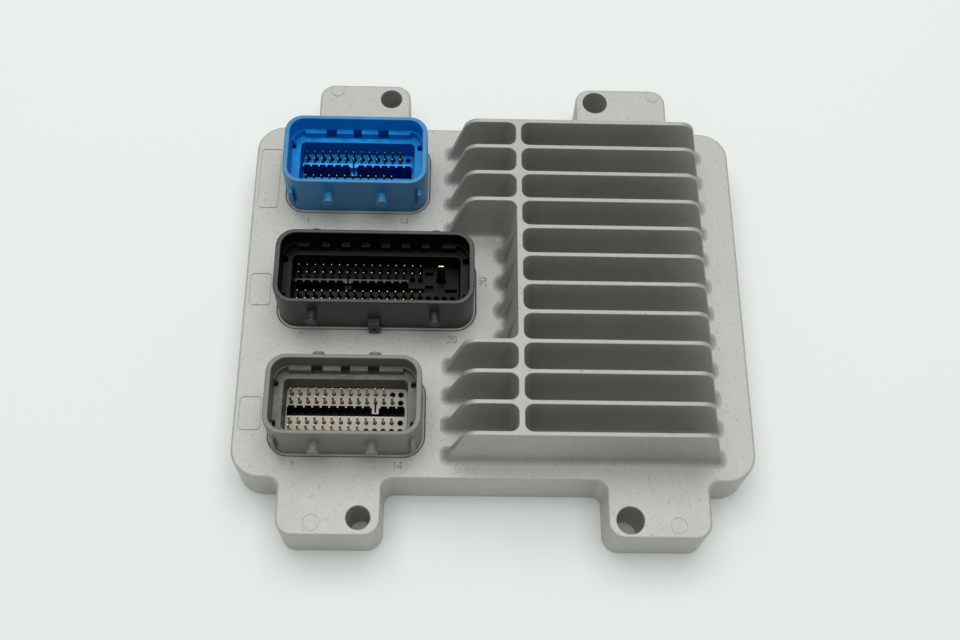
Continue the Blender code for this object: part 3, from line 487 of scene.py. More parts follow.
class Effects:
    """Shader node groups that several finishes share. Each is built on its first use."""

    @staticmethod
    @cache
    def cast_grain() -> bpy.types.NodeTree:
        """Speckle, pits and broad mottling of a die-cast skin.

        Returns:
            The node group.
        """
        wires, given, out = new_effect(
            "Cast grain",
            {"Base": (0.5, 0.5, 0.5), "Speckle": 0.08, "Mottling": 0.06, "Pits": 0.3, "Scale": 1.0})
        spot = wires.scaled(wires.node("TexCoord").outputs["Object"], given["Scale"])
        fine = wires.swing(spot, scale=1900.0, detail=2.0, roughness=0.6)
        medium = wires.swing(spot, scale=620.0, detail=3.0, roughness=0.6)
        broad = wires.swing(spot, scale=55.0, detail=3.0, roughness=0.55)
        pitted = wires.spread(wires.noise(spot, scale=900.0, detail=2.0, roughness=0.5), low=0.64, high=0.72)
        shade = wires.maths("MULTIPLY", wires.maths("ADD", fine, medium), given["Speckle"])
        shade = wires.maths("ADD", shade, wires.maths("MULTIPLY", broad, given["Mottling"]))
        dark = wires.maths("MULTIPLY", pitted, wires.maths("MULTIPLY", given["Pits"], -0.5))
        shade = wires.maths("ADD", wires.maths("ADD", shade, dark), 1.0)
        wires.link(wires.tinted(given["Base"], shade), out["Colour"])
        wires.link(wires.mixed(medium, 0.05, broad, 0.05), out["Roughness"])
        height = wires.mixed(fine, 0.35, medium, 0.65)
        depth = wires.maths("MULTIPLY", pitted, given["Pits"])
        wires.link(wires.maths("SUBTRACT", height, depth), out["Height"])
        return wires.tree

    @staticmethod
    @cache
    def moulded_skin() -> bpy.types.NodeTree:
        """Fine spark-eroded texture of a moulded plastic, with faint flow marks, and dusting and painted
        light on what faces up.

        Returns:
            The node group.
        """
        wires, given, out = new_effect(
            "Moulded skin",
            {"Base": (0.5, 0.5, 0.5), "Dusting and Top Light Colour": (0.5, 0.5, 0.48), "Variation": 0.06, "Dusting and Top Light": 0.1})
        where = wires.node("TexCoord").outputs["Object"]
        fine = wires.swing(where, scale=2600.0, detail=2.0, roughness=0.6)
        flow = wires.swing(where, scale=120.0, detail=3.0, roughness=0.6)
        shade = wires.maths("ADD", wires.maths("MULTIPLY", fine, 0.5), flow)
        shade = wires.maths("ADD", wires.maths("MULTIPLY", shade, given["Variation"]), 1.0)
        facing = wires.node("SeparateXYZ")
        wires.link(wires.node("NewGeometry").outputs["Normal"], facing.inputs[0])
        # What faces up takes a lighter colour: dusting, and painted light where that colour is a brighter
        # copy of the plastic.
        up = wires.spread(facing.outputs["Z"], low=0.5, high=0.95)
        patchy = wires.noise(where, scale=320.0, detail=4.0, roughness=0.65)
        patchy = wires.spread(patchy, low=0.42, high=0.68, to_low=0.15)
        share = wires.maths("MULTIPLY", wires.maths("MULTIPLY", up, patchy), given["Dusting and Top Light"], clamp=True)
        skin = wires.tinted(given["Base"], shade)
        wires.link(wires.blend(share, skin, given["Dusting and Top Light Colour"]), out["Colour"])
        wires.link(wires.mixed(flow, 0.05, share, 0.3), out["Roughness"])
        wires.link(fine, out["Height"])
        return wires.tree

    @staticmethod
    @cache
    def rubbed_metal() -> bpy.types.NodeTree:
        """Fine scratches and patches of a machined, plated or rolled metal.

        Returns:
            The node group.
        """
        wires, given, out = new_effect(
            "Rubbed metal",
            {"Base": (0.5, 0.5, 0.5), "Tarnish": (0.2, 0.2, 0.2), "Tarnish Share": 0.3, "Scale": 1.0})
        where = wires.node("TexCoord").outputs["Object"]
        stretch = wires.node("Mapping")
        wires.link(where, stretch.inputs["Vector"])
        stretch.inputs["Scale"].default_value = (0.12, 1.0, 1.0)
        drawn = wires.scaled(stretch.outputs[0], given["Scale"])
        lines = wires.swing(drawn, scale=2400.0, detail=3.0, roughness=0.6)
        patches = wires.noise(where, scale=260.0, detail=4.0, roughness=0.65)
        patches = wires.spread(patches, low=0.42, high=0.66)
        share = wires.maths("MULTIPLY", patches, given["Tarnish Share"], clamp=True)
        wires.link(wires.blend(share, given["Base"], given["Tarnish"]), out["Colour"])
        wires.link(wires.mixed(lines, 0.05, share, 0.25), out["Roughness"])
        wires.link(lines, out["Height"])
        return wires.tree


def surface(name: str, group: bpy.types.NodeTree, values: dict[str, Value], roughness: float,
            metallic: float, bump: float, specular: float = 0.5) -> bpy.types.Material:
    """A material with one effect group feeding one Principled shader.

    Args:
        name: Name of the material.
        group: The effect group.
        values: Its inputs.
        roughness: Middle roughness, to which the group adds its own change.
        metallic: Metallic share.
        bump: Depth of the group's relief in metres.
        specular: Specular level.

    Returns:
        The material.
    """
    material = bpy.data.materials.new(name)
    material.use_nodes = True
    wires = Wires(material.node_tree)
    shader = material.node_tree.nodes["Principled BSDF"]
    effect = wires.group(group, values)
    wires.link(effect.outputs["Colour"], shader.inputs["Base Color"])
    rough = wires.maths("ADD", effect.outputs["Roughness"], roughness, clamp=True)
    wires.link(rough, shader.inputs["Roughness"])
    shader.inputs["Metallic"].default_value = metallic
    shader.inputs["Specular IOR Level"].default_value = specular
    relief = wires.node("Bump")
    relief.inputs["Strength"].default_value = 1.0
    relief.inputs["Distance"].default_value = bump
    wires.link(effect.outputs["Height"], relief.inputs["Height"])
    wires.link(relief.outputs["Normal"], shader.inputs["Normal"])
    return material


@dataclass(frozen=True)
class CastFinish:
    """Bare die-cast metal with a fine, slightly pitted skin."""

    name: str = "Cast aluminium"
    base: Colour = (0.50, 0.50, 0.465)
    roughness: float = 0.62
    metallic: float = 0.55
    speckle: float = 0.065
    mottling: float = 0.05
    pits: float = 0.45
    relief: float = 0.00002

    def material(self) -> bpy.types.Material:
        """The finish as a material."""
        values = {"Base": self.base, "Speckle": self.speckle, "Mottling": self.mottling, "Pits": self.pits}
        return surface(self.name, Effects.cast_grain(), values, self.roughness, self.metallic, self.relief)


@dataclass(frozen=True)
class PlasticFinish:
    """Moulded plastic with a fine texture, and a little dusting and painted light on what faces up."""

    name: str
    base: Colour
    dusting_and_top_light_colour: Colour = (0.45, 0.45, 0.42)
    roughness: float = 0.42
    variation: float = 0.05
    dusting_and_top_light: float = 0.1
    relief: float = 0.000006
    specular: float = 0.5

    def material(self) -> bpy.types.Material:
        """The finish as a material."""
        values = {"Base": self.base, "Dusting and Top Light Colour": self.dusting_and_top_light_colour, "Variation": self.variation,
                  "Dusting and Top Light": self.dusting_and_top_light}
        return surface(self.name, Effects.moulded_skin(), values, self.roughness, 0.0, self.relief,
                       self.specular)


@dataclass(frozen=True)
class MetalFinish:
    """Machined, plated or rolled metal with fine scratches and tarnish."""

    name: str
    base: Colour
    tarnish: Colour
    tarnish_share: float = 0.3
    roughness: float = 0.3
    scale: float = 1.0
    relief: float = 0.000003

    def material(self) -> bpy.types.Material:
        """The finish as a material."""
        values = {"Base": self.base, "Tarnish": self.tarnish, "Tarnish Share": self.tarnish_share,
                  "Scale": self.scale}
        return surface(self.name, Effects.rubbed_metal(), values, self.roughness, 1.0, self.relief)


class Finishes:
    """Every material of the unit, made once and asked for by name."""

    recipes: dict[str, CastFinish | PlasticFinish | MetalFinish] = {
        "cast": CastFinish(),
        # A darker copy of the cast finish for the fins: painted shade between the fins.
        "cast_fins_shade": CastFinish("Cast fins painted shade", (0.435, 0.435, 0.40)),
        # A darker copy for the numerals: painted shade, as if they were sunk into the face.
        "cast_shade": CastFinish("Cast marks painted shade", (0.40, 0.40, 0.375)),
        "blue": PlasticFinish("Blue plastic", (0.016, 0.19, 0.43), dusting_and_top_light_colour=(0.28, 0.42, 0.50), dusting_and_top_light=0.25),
        # Inside the mouth: a brighter copy of the blue, with bright painted light on what faces up.
        "blue_inside": PlasticFinish("Blue plastic inside", (0.002, 0.21, 0.66), dusting_and_top_light_colour=(0.0, 0.62, 1.0),
                                     dusting_and_top_light=0.45, specular=0.25),
        # In the well and the keyways: a darker copy, painted shade.
        "blue_well_shade": PlasticFinish("Blue well painted shade", (0.001, 0.12, 0.52), dusting_and_top_light=0.0, specular=0.25),
        # A brighter copy for the ridge's top: painted glint.
        "blue_edge": PlasticFinish("Blue ridge painted glint", (0.01, 0.36, 0.95), dusting_and_top_light_colour=(0.2, 0.65, 1.0), dusting_and_top_light=0.4),
        "blue_floor": PlasticFinish("Blue floor", (0.003, 0.20, 0.62), dusting_and_top_light_colour=(0.0, 0.5, 0.9), dusting_and_top_light=0.25,
                                    specular=0.25),
        # A darker copy for the trench and the holes: painted shade.
        "blue_deep_shade": PlasticFinish("Blue trench painted shade", (0.002, 0.05, 0.33), dusting_and_top_light=0.0, specular=0.2),
        "black": PlasticFinish("Black plastic", (0.022, 0.024, 0.022), dusting_and_top_light_colour=(0.15, 0.16, 0.15),
                               dusting_and_top_light=0.3),
        # Inside the mouth: a darker copy of the black, painted shade.
        "black_inside": PlasticFinish("Black plastic inside", (0.002, 0.002, 0.002),
                                      dusting_and_top_light_colour=(0.04, 0.044, 0.04), dusting_and_top_light=0.12, specular=0.2),
        # A brighter copy for the ridge's top: painted glint.
        "black_edge": PlasticFinish("Black ridge painted glint", (0.03, 0.032, 0.03), dusting_and_top_light_colour=(0.25, 0.26, 0.25),
                                    dusting_and_top_light=0.3),
        # In the well and the keyways: a darker copy, painted shade.
        "black_well_shade": PlasticFinish("Black well painted shade", (0.002, 0.002, 0.002), dusting_and_top_light=0.0, specular=0.2),
        "black_floor": PlasticFinish("Black floor", (0.0015, 0.0015, 0.0015),
                                     dusting_and_top_light_colour=(0.04, 0.038, 0.035), dusting_and_top_light=0.08, specular=0.15),
        # A darker copy for the trench and the holes: painted shade.
        "black_deep_shade": PlasticFinish("Black trench painted shade", (0.001, 0.001, 0.001), dusting_and_top_light=0.0, specular=0.1),
        "grey": PlasticFinish("Grey plastic", (0.18, 0.18, 0.155), dusting_and_top_light_colour=(0.36, 0.36, 0.32), dusting_and_top_light=0.2),
        # Inside the mouth: a darker copy of the grey, painted shade, with painted light on what faces up.
        "grey_inside": PlasticFinish("Grey plastic inside", (0.14, 0.14, 0.115),
                                     dusting_and_top_light_colour=(0.40, 0.40, 0.355), dusting_and_top_light=0.4, specular=0.3),
        # In the well and the keyways: a darker copy, painted shade.
        "grey_well_shade": PlasticFinish("Grey well painted shade", (0.09, 0.085, 0.07), dusting_and_top_light=0.0, specular=0.3),
        "grey_floor": PlasticFinish("Grey floor", (0.42, 0.42, 0.38), dusting_and_top_light_colour=(0.55, 0.55, 0.5),
                                    dusting_and_top_light=0.15),
        # A brighter copy for the ridge's top: painted glint.
        "grey_edge": PlasticFinish("Grey ridge painted glint", (0.55, 0.55, 0.50), dusting_and_top_light_colour=(0.7, 0.7, 0.65), dusting_and_top_light=0.2),
        # A darker copy for the trench and the holes: painted shade.
        "grey_deep_shade": PlasticFinish("Grey trench painted shade", (0.02, 0.02, 0.018), dusting_and_top_light=0.0, specular=0.2),
        "gold": MetalFinish("Plated contacts", (0.78, 0.55, 0.24), tarnish=(0.30, 0.17, 0.07),
                            tarnish_share=0.5, roughness=0.28),
        # Darker copies of the gold for the shanks of the pins and the blade: painted shade.
        "shaded_gold": MetalFinish("Contact in light painted shade", (0.72, 0.47, 0.23), tarnish=(0.42, 0.24, 0.11),
                                 tarnish_share=0.5, roughness=0.34),
        "dark_shaded_gold": MetalFinish("Contact in painted shade", (0.09, 0.065, 0.035), tarnish=(0.03, 0.02, 0.012),
                                 tarnish_share=0.5, roughness=0.4),
        "steel": MetalFinish("Zinc plated steel", (0.55, 0.56, 0.57), tarnish=(0.25, 0.25, 0.26),
                             tarnish_share=0.35),
        "sheet": MetalFinish("Rolled sheet", (0.60, 0.61, 0.61), tarnish=(0.42, 0.42, 0.42),
                             tarnish_share=0.35, roughness=0.36, scale=0.6),
        "can": MetalFinish("Can aluminium", (0.62, 0.63, 0.65), tarnish=(0.40, 0.41, 0.43)),
        "sealant": PlasticFinish("Sealant", (0.42, 0.43, 0.41), roughness=0.5, variation=0.08, dusting_and_top_light=0.1,
                                 relief=0.00002),
        "gasket": PlasticFinish("Gasket", (0.05, 0.05, 0.055), roughness=0.6, variation=0.1, dusting_and_top_light=0.1),
        "board": PlasticFinish("Board laminate", (0.012, 0.12, 0.045), roughness=0.3, variation=0.25,
                               dusting_and_top_light=0.05),
        "chip": PlasticFinish("Chip case", (0.016, 0.016, 0.017), roughness=0.45, variation=0.15, dusting_and_top_light=0.1),
        "pad": PlasticFinish("Thermal pad", (0.28, 0.31, 0.34), roughness=0.75, variation=0.1, dusting_and_top_light=0.05),
    }

    @classmethod
    @cache
    def of(cls, name: str) -> bpy.types.Material:
        """The material with this name."""
        return cls.recipes[name].material()


def dressed(thing: bpy.types.Object, *names: str) -> bpy.types.Object:
    """Puts finishes into a piece's material slots.

    Args:
        thing: The piece.
        names: The finishes, in the order of the slots.

    Returns:
        The piece.
    """
    thing.data.materials.clear()
    for name in names:
        thing.data.materials.append(Finishes.of(name))
    return thing


# Sizes shared by the sub-assemblies

@dataclass(frozen=True)
class Levels:
    """Heights above the rim that the unit rests on."""

    board_top: float = 8.0
    flange_bottom: float = 12.7
    flange_top: float = 14.7
    ceiling: float = 15.0
    face: float = 18.0
    pin_floor: float = 20.1
    pin_tip: float = 25.0
    step: float = 27.0
    ledge: float = 29.8
    rim: float = 36.1
    fin_top: float = 39.3


LEVELS = Levels()
GAP = 0.3  # between pieces that seat on or in each other


class Lane(Enum):
    """Where a header stands across the unit."""

    BACK = 1
    MIDDLE = 0
    FRONT = -1


@dataclass(frozen=True)
class HeaderPlan:
    """Plan of one pin header. Its four rows are counted from the back of the unit to the front."""

    name: str
    lane: Lane
    columns: int
    holes: tuple[int, int, int, int]
    pins: tuple[int, int, int, int]
    keyways: tuple[tuple[float, float], ...]  # middle and width of each
    stud_offset: float
    tongue_column: int  # where a tongue takes the place of the trench's notch
    keying_shift: float = 0.0  # of the studs and the latch from the header's middle
    narrow_columns: int = 0  # at the right end of the trench, where it is narrower
    ridge: float = 0.0  # height of the ridge behind the trench, above the pins' floor
    shank: str = "dark_shaded_gold"  # painted shade of the pins below their tips
    funnel: float = 0.85  # radius of the funnel round each pin
    powered: bool = False
    pitch: float = 2.54
    rows: tuple[float, float, float, float] = (5.85, 3.2, -3.2, -5.85)
    shift: float = -0.25
    left: float = -67.585
    lane_pitch: float = 41.64
    width: float = 24.84
    band_end: float = 4.35
    band_side: float = 4.42
    end_wall: float = 1.6
    side_wall: float = 1.25
    radius: float = 5.8
    well_radius: float = 1.5
    end_margin: float = 2.0  # from the outermost columns to the ends of the well

    @property
    def length(self) -> float:
        """Outer length of the shell."""
        return (self.columns - 1) * self.pitch + 2 * self.end_margin + 2 * self.band_end

    @property
    def centre(self) -> Point:
        """Middle of the header in the unit's plan."""
        return self.left + self.length / 2, self.lane.value * self.lane_pitch

    def outline(self, end: float, side: float, radius: float, steps: int = 8) -> Outline:
        """A rounded rectangle inside the shell's outer face.

        Args:
            end: Inset at the ends.
            side: Inset on the long sides.
            radius: Corner radius.
            steps: Flats on a corner.

        Returns:
            The outline round the header's middle.
        """
        return rounded_rectangle(self.length - 2 * end, self.width - 2 * side, radius, steps)

    def around(self, margin: float) -> Outline:
        """An outline this far outside the shell."""
        return self.outline(-margin, -margin, self.radius + margin)

    def column_x(self, column: float) -> float:
        """Place of a column, from the header's middle."""
        return (column - (self.columns - 1) / 2) * self.pitch + self.shift

    def places(self, first: Sequence[int], past: Sequence[int]) -> list[Point]:
        """Places in the rows.

        Args:
            first: First column in each row.
            past: The column after the last one in each row.

        Returns:
            The places, row by row.
        """
        spans = [range(low, high) for low, high in zip(first, past)]
        return [(self.column_x(column), y) for y, span in zip(self.rows, spans) for column in span]

    @property
    def pin_places(self) -> list[Point]:
        """Where pins stand."""
        return self.places((0, 0, 0, 0), self.pins)

    @property
    def empty_places(self) -> list[Point]:
        """Holes without a pin."""
        return self.places(self.pins, self.holes)


BLUE = HeaderPlan(
    name="blue",
    lane=Lane.BACK,
    columns=14,
    holes=(14, 14, 14, 14),
    pins=(13, 13, 12, 13),
    keyways=((-8.65, 3.3), (-0.15, 2.6), (8.25, 3.3)),
    stud_offset=8.5,
    tongue_column=6,
    ridge=2.6,
)
BLACK = HeaderPlan(
    name="black",
    lane=Lane.MIDDLE,
    columns=20,
    holes=(16, 16, 20, 20),
    pins=(16, 16, 16, 15),
    keyways=((-19.05, 3.6), (-12.8, 3.4), (-6.55, 3.4), (-0.3, 3.4), (5.95, 3.4), (12.2, 3.4),
             (18.45, 3.6)),
    stud_offset=18.75,
    tongue_column=6,
    keying_shift=-0.3,
    narrow_columns=2,
    ridge=1.2,
    powered=True,
)
GREY = HeaderPlan(
    name="grey",
    lane=Lane.FRONT,
    columns=14,
    holes=(14, 14, 14, 14),
    pins=(12, 13, 13, 9),
    keyways=((-8.65, 3.3), (-0.15, 2.6), (8.25, 3.3)),
    stud_offset=8.5,
    tongue_column=10,
    shank="shaded_gold",
    funnel=0.6,
)
HEADERS = (BLUE, BLACK, GREY)


# Cover casting

@dataclass(frozen=True)
class Bend:
    """One arc of the casting's outline. A hollow one widens as the outline is drawn in."""

    centre: Point
    radius: float
    start: float
    end: float
    hollow: bool = False

    def points(self, inset: float, steps: int = 8) -> Outline:
        """The arc with the outline drawn in."""
        radius = self.radius + inset if self.hollow else self.radius - inset
        return arc(self.centre, radius, self.start, self.end, steps)


@dataclass(frozen=True)
class FinBlock:
    """Drafted fins with sloping, rounded ends, the spine that joins them, and the buttresses beside it."""

    count: int = 12
    pitch: float = 9.59
    shift: float = -1.5
    tip: float = 1.35
    draft: float = math.radians(2.0)
    left_foot: float = -14.85
    right_foot: float = 68.35
    left_slope: float = math.radians(15.2)
    right_slope: float = math.radians(13.6)
    corner: float = 4.7
    corner_angles: tuple[float, ...] = (13.7, 15.3, 25, 36, 47, 57, 66)  # of the sections in the corners
    spine: float = 7.125
    spine_tip: float = 1.75
    recess_slope: float = math.radians(6.9)
    stub_slope: float = math.radians(13.4)
    stub_draft: float = math.radians(4.0)
    stub_overlap: float = 0.4
    stub_nose: float = 0.9  # radius of a buttress's nose, as a share of half its width
    channel_radius: float = 2.5
    channel_share: float = 0.45  # of a channel's width that its corner radius takes at most
    channel_run: float = 4.0  # how far a channel's cutter runs past the fins' ends
    fillet: float = 2.2
    crest: float = 0.24
    end_round: float = 0.5
    end_share: float = 0.75  # of half a fin's width that its end's rounding takes at most
    floor_lift: float = 0.04
    cut_short: tuple[int, ...] = (4, 5, 6, 7)

    def y(self, index: int) -> float:
        """Place of a fin, counted from the back."""
        return self.shift + ((self.count - 1) / 2 - index) * self.pitch

    def foot_flare(self, height: float) -> float:
        """How far the fillet at the foot stands out from a wall."""
        rise = min(max(height - LEVELS.face, 0.0), self.fillet)
        return self.fillet - math.sqrt(self.fillet ** 2 - (self.fillet - rise) ** 2)

    def crest_inset(self, height: float) -> float:
        """How far the rounded top edge lies inside a wall."""
        rise = min(max(height - LEVELS.fin_top + self.crest, 0.0), self.crest)
        return self.crest - math.sqrt(self.crest ** 2 - rise ** 2)

    def half_width(self, height: float) -> float:
        """Half the thickness of a fin, with its fillet and rounded top edge."""
        plain = self.tip / 2 + (LEVELS.fin_top - height) * math.tan(self.draft)
        return plain + self.foot_flare(height) - self.crest_inset(height)

    def end_x(self, side: int, height: float) -> float:
        """End of the fins: a slope with a wide fillet at its foot, and a rounded corner up to the level top.

        Args:
            side: 1 for the right end, -1 for the left.
            height: Level above the rim that the unit rests on.

        Returns:
            Its place along the fins.
        """
        foot, slope = (self.right_foot, self.right_slope) if side > 0 else (self.left_foot, self.left_slope)
        run = (LEVELS.fin_top - LEVELS.face) * math.tan(slope)
        middle = foot - side * (run + self.corner * math.tan((QUARTER - slope) / 2))
        above = min(height, LEVELS.fin_top) - (LEVELS.fin_top - self.corner)
        if above > self.corner * math.sin(slope):
            return middle + side * math.sqrt(max(self.corner ** 2 - above ** 2, 0.0))
        return foot - side * ((height - LEVELS.face) * math.tan(slope) - self.foot_flare(height))

    def heights(self) -> list[float]:
        """Heights of the sections: close together in the fillet, the rounded corners and the top edge.

        Returns:
            The heights from the foot up.
        """
        feet = [LEVELS.face + self.fillet * (1 - math.cos(angle)) for angle in quarter_turn(6)[1:]]
        corners = [LEVELS.fin_top - self.corner * (1 - math.sin(math.radians(angle)))
                   for angle in self.corner_angles]
        tops = [LEVELS.fin_top - self.crest * (1 - math.sin(angle)) for angle in quarter_turn(3)]
        return sorted([LEVELS.face + self.floor_lift, *feet, *corners, *tops])

    def bar(self) -> list[Ring]:
        """The whole block before the channels are cut.

        Returns:
            Its rings from the foot up.
        """
        rings = []
        half_row = (self.count - 1) / 2 * self.pitch
        for height in [LEVELS.face - ROOT, LEVELS.face, *self.heights()]:
            left = self.end_x(-1, height)
            right = self.end_x(1, height)
            wide = 2 * (half_row + self.half_width(height))
            outline = rounded_rectangle(right - left, wide, self.end_round + self.foot_flare(height), 4)
            rings += moved([level(outline, height)], (left + right) / 2, self.shift)
        return rings

    def channel(self, side: int, front: int, back: int, slope: float) -> list[Ring]:
        """A cutter between two fins, from the spine out past their ends.

        Args:
            side: 1 for the right of the spine, -1 for the left.
            front: Index of the fin on its front.
            back: Index of the fin on its back.
            slope: Draft of the spine's wall.

        Returns:
            Its rings from the floor up, with rounded corners at the spine and rounded fin ends.
        """
        rings = []
        levels = self.heights()
        for height in [*levels, levels[-1] + OVERRUN]:
            low = self.y(front) + self.half_width(height)
            high = self.y(back) - self.half_width(height)
            spread = (LEVELS.fin_top - height) * math.tan(slope)
            near = self.spine + side * (self.spine_tip / 2 + max(spread, 0.0) + self.foot_flare(height)
                                        - self.crest_inset(height))
            radius = min(self.channel_radius, self.channel_share * (high - low))
            ends = min(self.end_round + self.foot_flare(height), self.end_share * self.half_width(height))
            end = self.end_x(side, height)
            far = end + side * self.channel_run
            inner = near + side * radius
            outline = [(far, low - ends)]
            outline += [(end - side * (ends - x), low - ends + y)
                        for x, y in arc((0, 0), ends, 0.0, QUARTER, 4)]
            outline += [(inner - side * x, low + radius - y)
                        for x, y in arc((0, 0), radius, QUARTER, 0.0, 6)]
            outline += [(inner - side * x, high - radius + y)
                        for x, y in arc((0, 0), radius, 0.0, QUARTER, 6)]
            outline += [(end - side * (ends - x), high + ends - y)
                        for x, y in arc((0, 0), ends, QUARTER, 0.0, 4)]
            outline.append((far, high + ends))
            rings.append(level(outline if side < 0 else outline[::-1], height))
        return rings

    def stub(self) -> list[Ring]:
        """A buttress with a round nose, which slopes from the spine's top to the face.

        Returns:
            Its rings from the foot up.
        """
        rings = []
        for height in [LEVELS.face - ROOT, LEVELS.face, *self.heights()]:
            drop = LEVELS.fin_top - height
            half = self.tip / 2 + drop * math.tan(self.stub_draft) + self.foot_flare(height)
            half -= self.crest_inset(height)
            nose = self.spine - self.spine_tip / 2 - drop * math.tan(self.stub_slope)
            nose += self.crest_inset(height) - self.foot_flare(height)
            radius = self.stub_nose * half
            outline = [(self.spine + self.stub_overlap, -half), (self.spine + self.stub_overlap, half)]
            outline += arc((nose + radius, half - radius), radius, QUARTER, 2 * QUARTER, 5)
            outline += arc((nose + radius, radius - half), radius, 2 * QUARTER, 3 * QUARTER, 5)
            rings.append(level(outline, height))
        return rings

    def built(self) -> bpy.types.Object:
        """Builds the block, cuts its channels and joins its buttresses on.

        Returns:
            The block.
        """
        block = Form("fin_block").skin(self.bar()).made()
        whole = [index for index in range(self.count) if index not in self.cut_short]
        cutters = [self.channel(1, index + 1, index, self.draft) for index in range(self.count - 1)]
        for back, front in zip(whole, whole[1:]):
            slope = self.recess_slope if front - back > 1 else self.draft
            cutters.append(self.channel(-1, front, back, slope))
        combined(block, Joining.CUT, [Form("channel").skin(rings).made() for rings in cutters])
        stubs = [Form("stub").skin(moved(self.stub(), y=self.y(index))).made() for index in self.cut_short]
        return combined(block, Joining.ADD, stubs)


@dataclass(frozen=True)
class Casting:
    """The die-cast cover: body, lugs, fins, openings, screw bosses and the marks in its skin."""

    length: float = 158.07
    width: float = 122.92
    radius: float = 9.0
    lug_length: float = 30.8
    lug_reach: float = 17.4
    lug_radius: float = 5.0
    lug_root: float = 3.0
    front_lug: float = 48.9
    back_lug: float = 43.75
    foot_edge: tuple[Point, ...] = ((0.3, 0.0), (0.09, 0.09), (0.0, 0.3))  # inset and height
    parting_line: tuple[Point, ...] = ((0.0, 6.9), (0.07, 7.0), (0.0, 7.1))  # inset and height
    top_edge: float = 0.8
    top_edge_hem: float = 0.05
    bolt_inset: float = 8.8
    bolt_edge: float = 5.45
    narrow_bolt: float = 7.1
    wide_bolt: float = 8.2
    bolt_foot: float = 0.4
    bolt_mouth: tuple[Point, ...] = ((0.0, 0.45), (0.13, 0.13), (0.45, 0.0))  # flare and depth
    core_wall: float = 3.2
    core_length: float = 13.0
    core_radius: float = 1.8
    core_roof: tuple[Point, ...] = ((0.35, 1.0), (1.0, 0.0))  # inset and depth
    side_wall: float = 4.0
    shoulder_width: float = 2.4
    shoulder: float = 3.2
    slit: float = 0.85
    opening_mouth: tuple[Point, ...] = ((0.0, 0.25), (0.07, 0.07), (0.25, 0.0))  # flare and depth
    ejector_places: tuple[Point, ...] = ((-53.7, -75.1), (54.3, -75.0), (-53.4, 76.5), (55.0, 76.4))
    ejector_radius: float = 2.55
    ejector_inner: float = 2.2
    ejector_depth: float = 0.2
    label_spans: tuple[Point, ...] = ((29.7, 52.4), (-5.5, 5.9), (-47.0, -36.0))
    label_left: float = -77.5
    label_right: float = -70.5
    label_corner: float = 1.4
    label_line: float = 0.42
    label_depth: float = 0.3
    plate_boss: float = 3.3
    board_boss: float = 3.4
    pilot: float = 1.55
    plate_pilot_top: float = 10.3
    board_pilot_top: float = 13.6
    pedestal_place: Point = (53.035, 0.0)
    pedestal_length: float = 17.0
    pedestal_width: float = 71.0
    pedestal_corner: float = 1.5
    pedestal_bottom: float = 12.1
    fin_finish: float = 0.6  # height over the face at which the fins' darker finish, painted shade, begins
    fins: FinBlock = field(default_factory=FinBlock)

    def bends(self) -> list[Bend]:
        """The arcs of the outline.

        Returns:
            The arcs, anticlockwise from the back right corner.
        """
        half_length = self.length / 2
        half_width = self.width / 2
        x = half_length - self.radius
        y = half_width - self.radius
        corners = [Bend((cx, cy), self.radius, turn * QUARTER, (turn + 1) * QUARTER)
                   for turn, (cx, cy) in enumerate(((x, y), (-x, y), (-x, -y), (x, -y)))]
        back = [bend for middle in (self.back_lug, -self.back_lug)
                for bend in self.lug_bends(middle, half_width)]
        front = [Bend((-bend.centre[0], -bend.centre[1]), bend.radius, bend.start + 2 * QUARTER,
                      bend.end + 2 * QUARTER, bend.hollow)
                 for middle in (self.front_lug, -self.front_lug)
                 for bend in self.lug_bends(middle, half_width)]
        return [corners[0], *back, corners[1], corners[2], *front, corners[3]]

    def lug_bends(self, middle: float, root_y: float) -> list[Bend]:
        """The arcs of one lug on the back.

        Args:
            middle: Its middle along X.
            root_y: Where it joins the body.

        Returns:
            Its four arcs from right to left.
        """
        root_x = self.lug_length / 2 + self.lug_root
        hollow_y = root_y + self.lug_root
        tip_x = self.lug_length / 2 - self.lug_radius
        tip_y = root_y + self.lug_reach - self.lug_radius
        return [
            Bend((middle + root_x, hollow_y), self.lug_root, 3 * QUARTER, 2 * QUARTER, hollow=True),
            Bend((middle + tip_x, tip_y), self.lug_radius, 0.0, QUARTER),
            Bend((middle - tip_x, tip_y), self.lug_radius, QUARTER, 2 * QUARTER),
            Bend((middle - root_x, hollow_y), self.lug_root, 4 * QUARTER, 3 * QUARTER, hollow=True),
        ]

    def outline(self, inset: float) -> Outline:
        """The whole outline, body and lugs, drawn in by an inset."""
        return [point for bend in self.bends() for point in bend.points(inset)]

    def body_outline(self, inset: float) -> Outline:
        """The body's outline without its lugs."""
        return rounded_rectangle(self.length - 2 * inset, self.width - 2 * inset, self.radius - inset)

    def body(self) -> bpy.types.Object:
        """Builds the plain body with a rounded top edge, a softened foot and a fine parting line.

        Returns:
            The body.
        """
        rings = [level(self.outline(inset), z) for inset, z in self.foot_edge + self.parting_line]
        hem = LEVELS.face - self.top_edge - self.top_edge_hem
        rings += rounded_prism(self.outline, hem, LEVELS.face, self.top_edge, 4)
        return Form("casting").skin(rings).made()

    def lug_middles(self) -> list[tuple[float, int]]:
        """Middle of each lug along X, and 1 for the back or -1 for the front."""
        return [(x, side) for side, offset in ((1, self.back_lug), (-1, self.front_lug))
                for x in (-offset, offset)]

    @staticmethod
    def mouth(edge: Sequence[Point], run: float) -> list[Point]:
        """Flares and heights of a softened mouth in the face, and of the cutter's run over it."""
        return [(flare, LEVELS.face - depth) for flare, depth in edge] + [(edge[-1][0], LEVELS.face + run)]

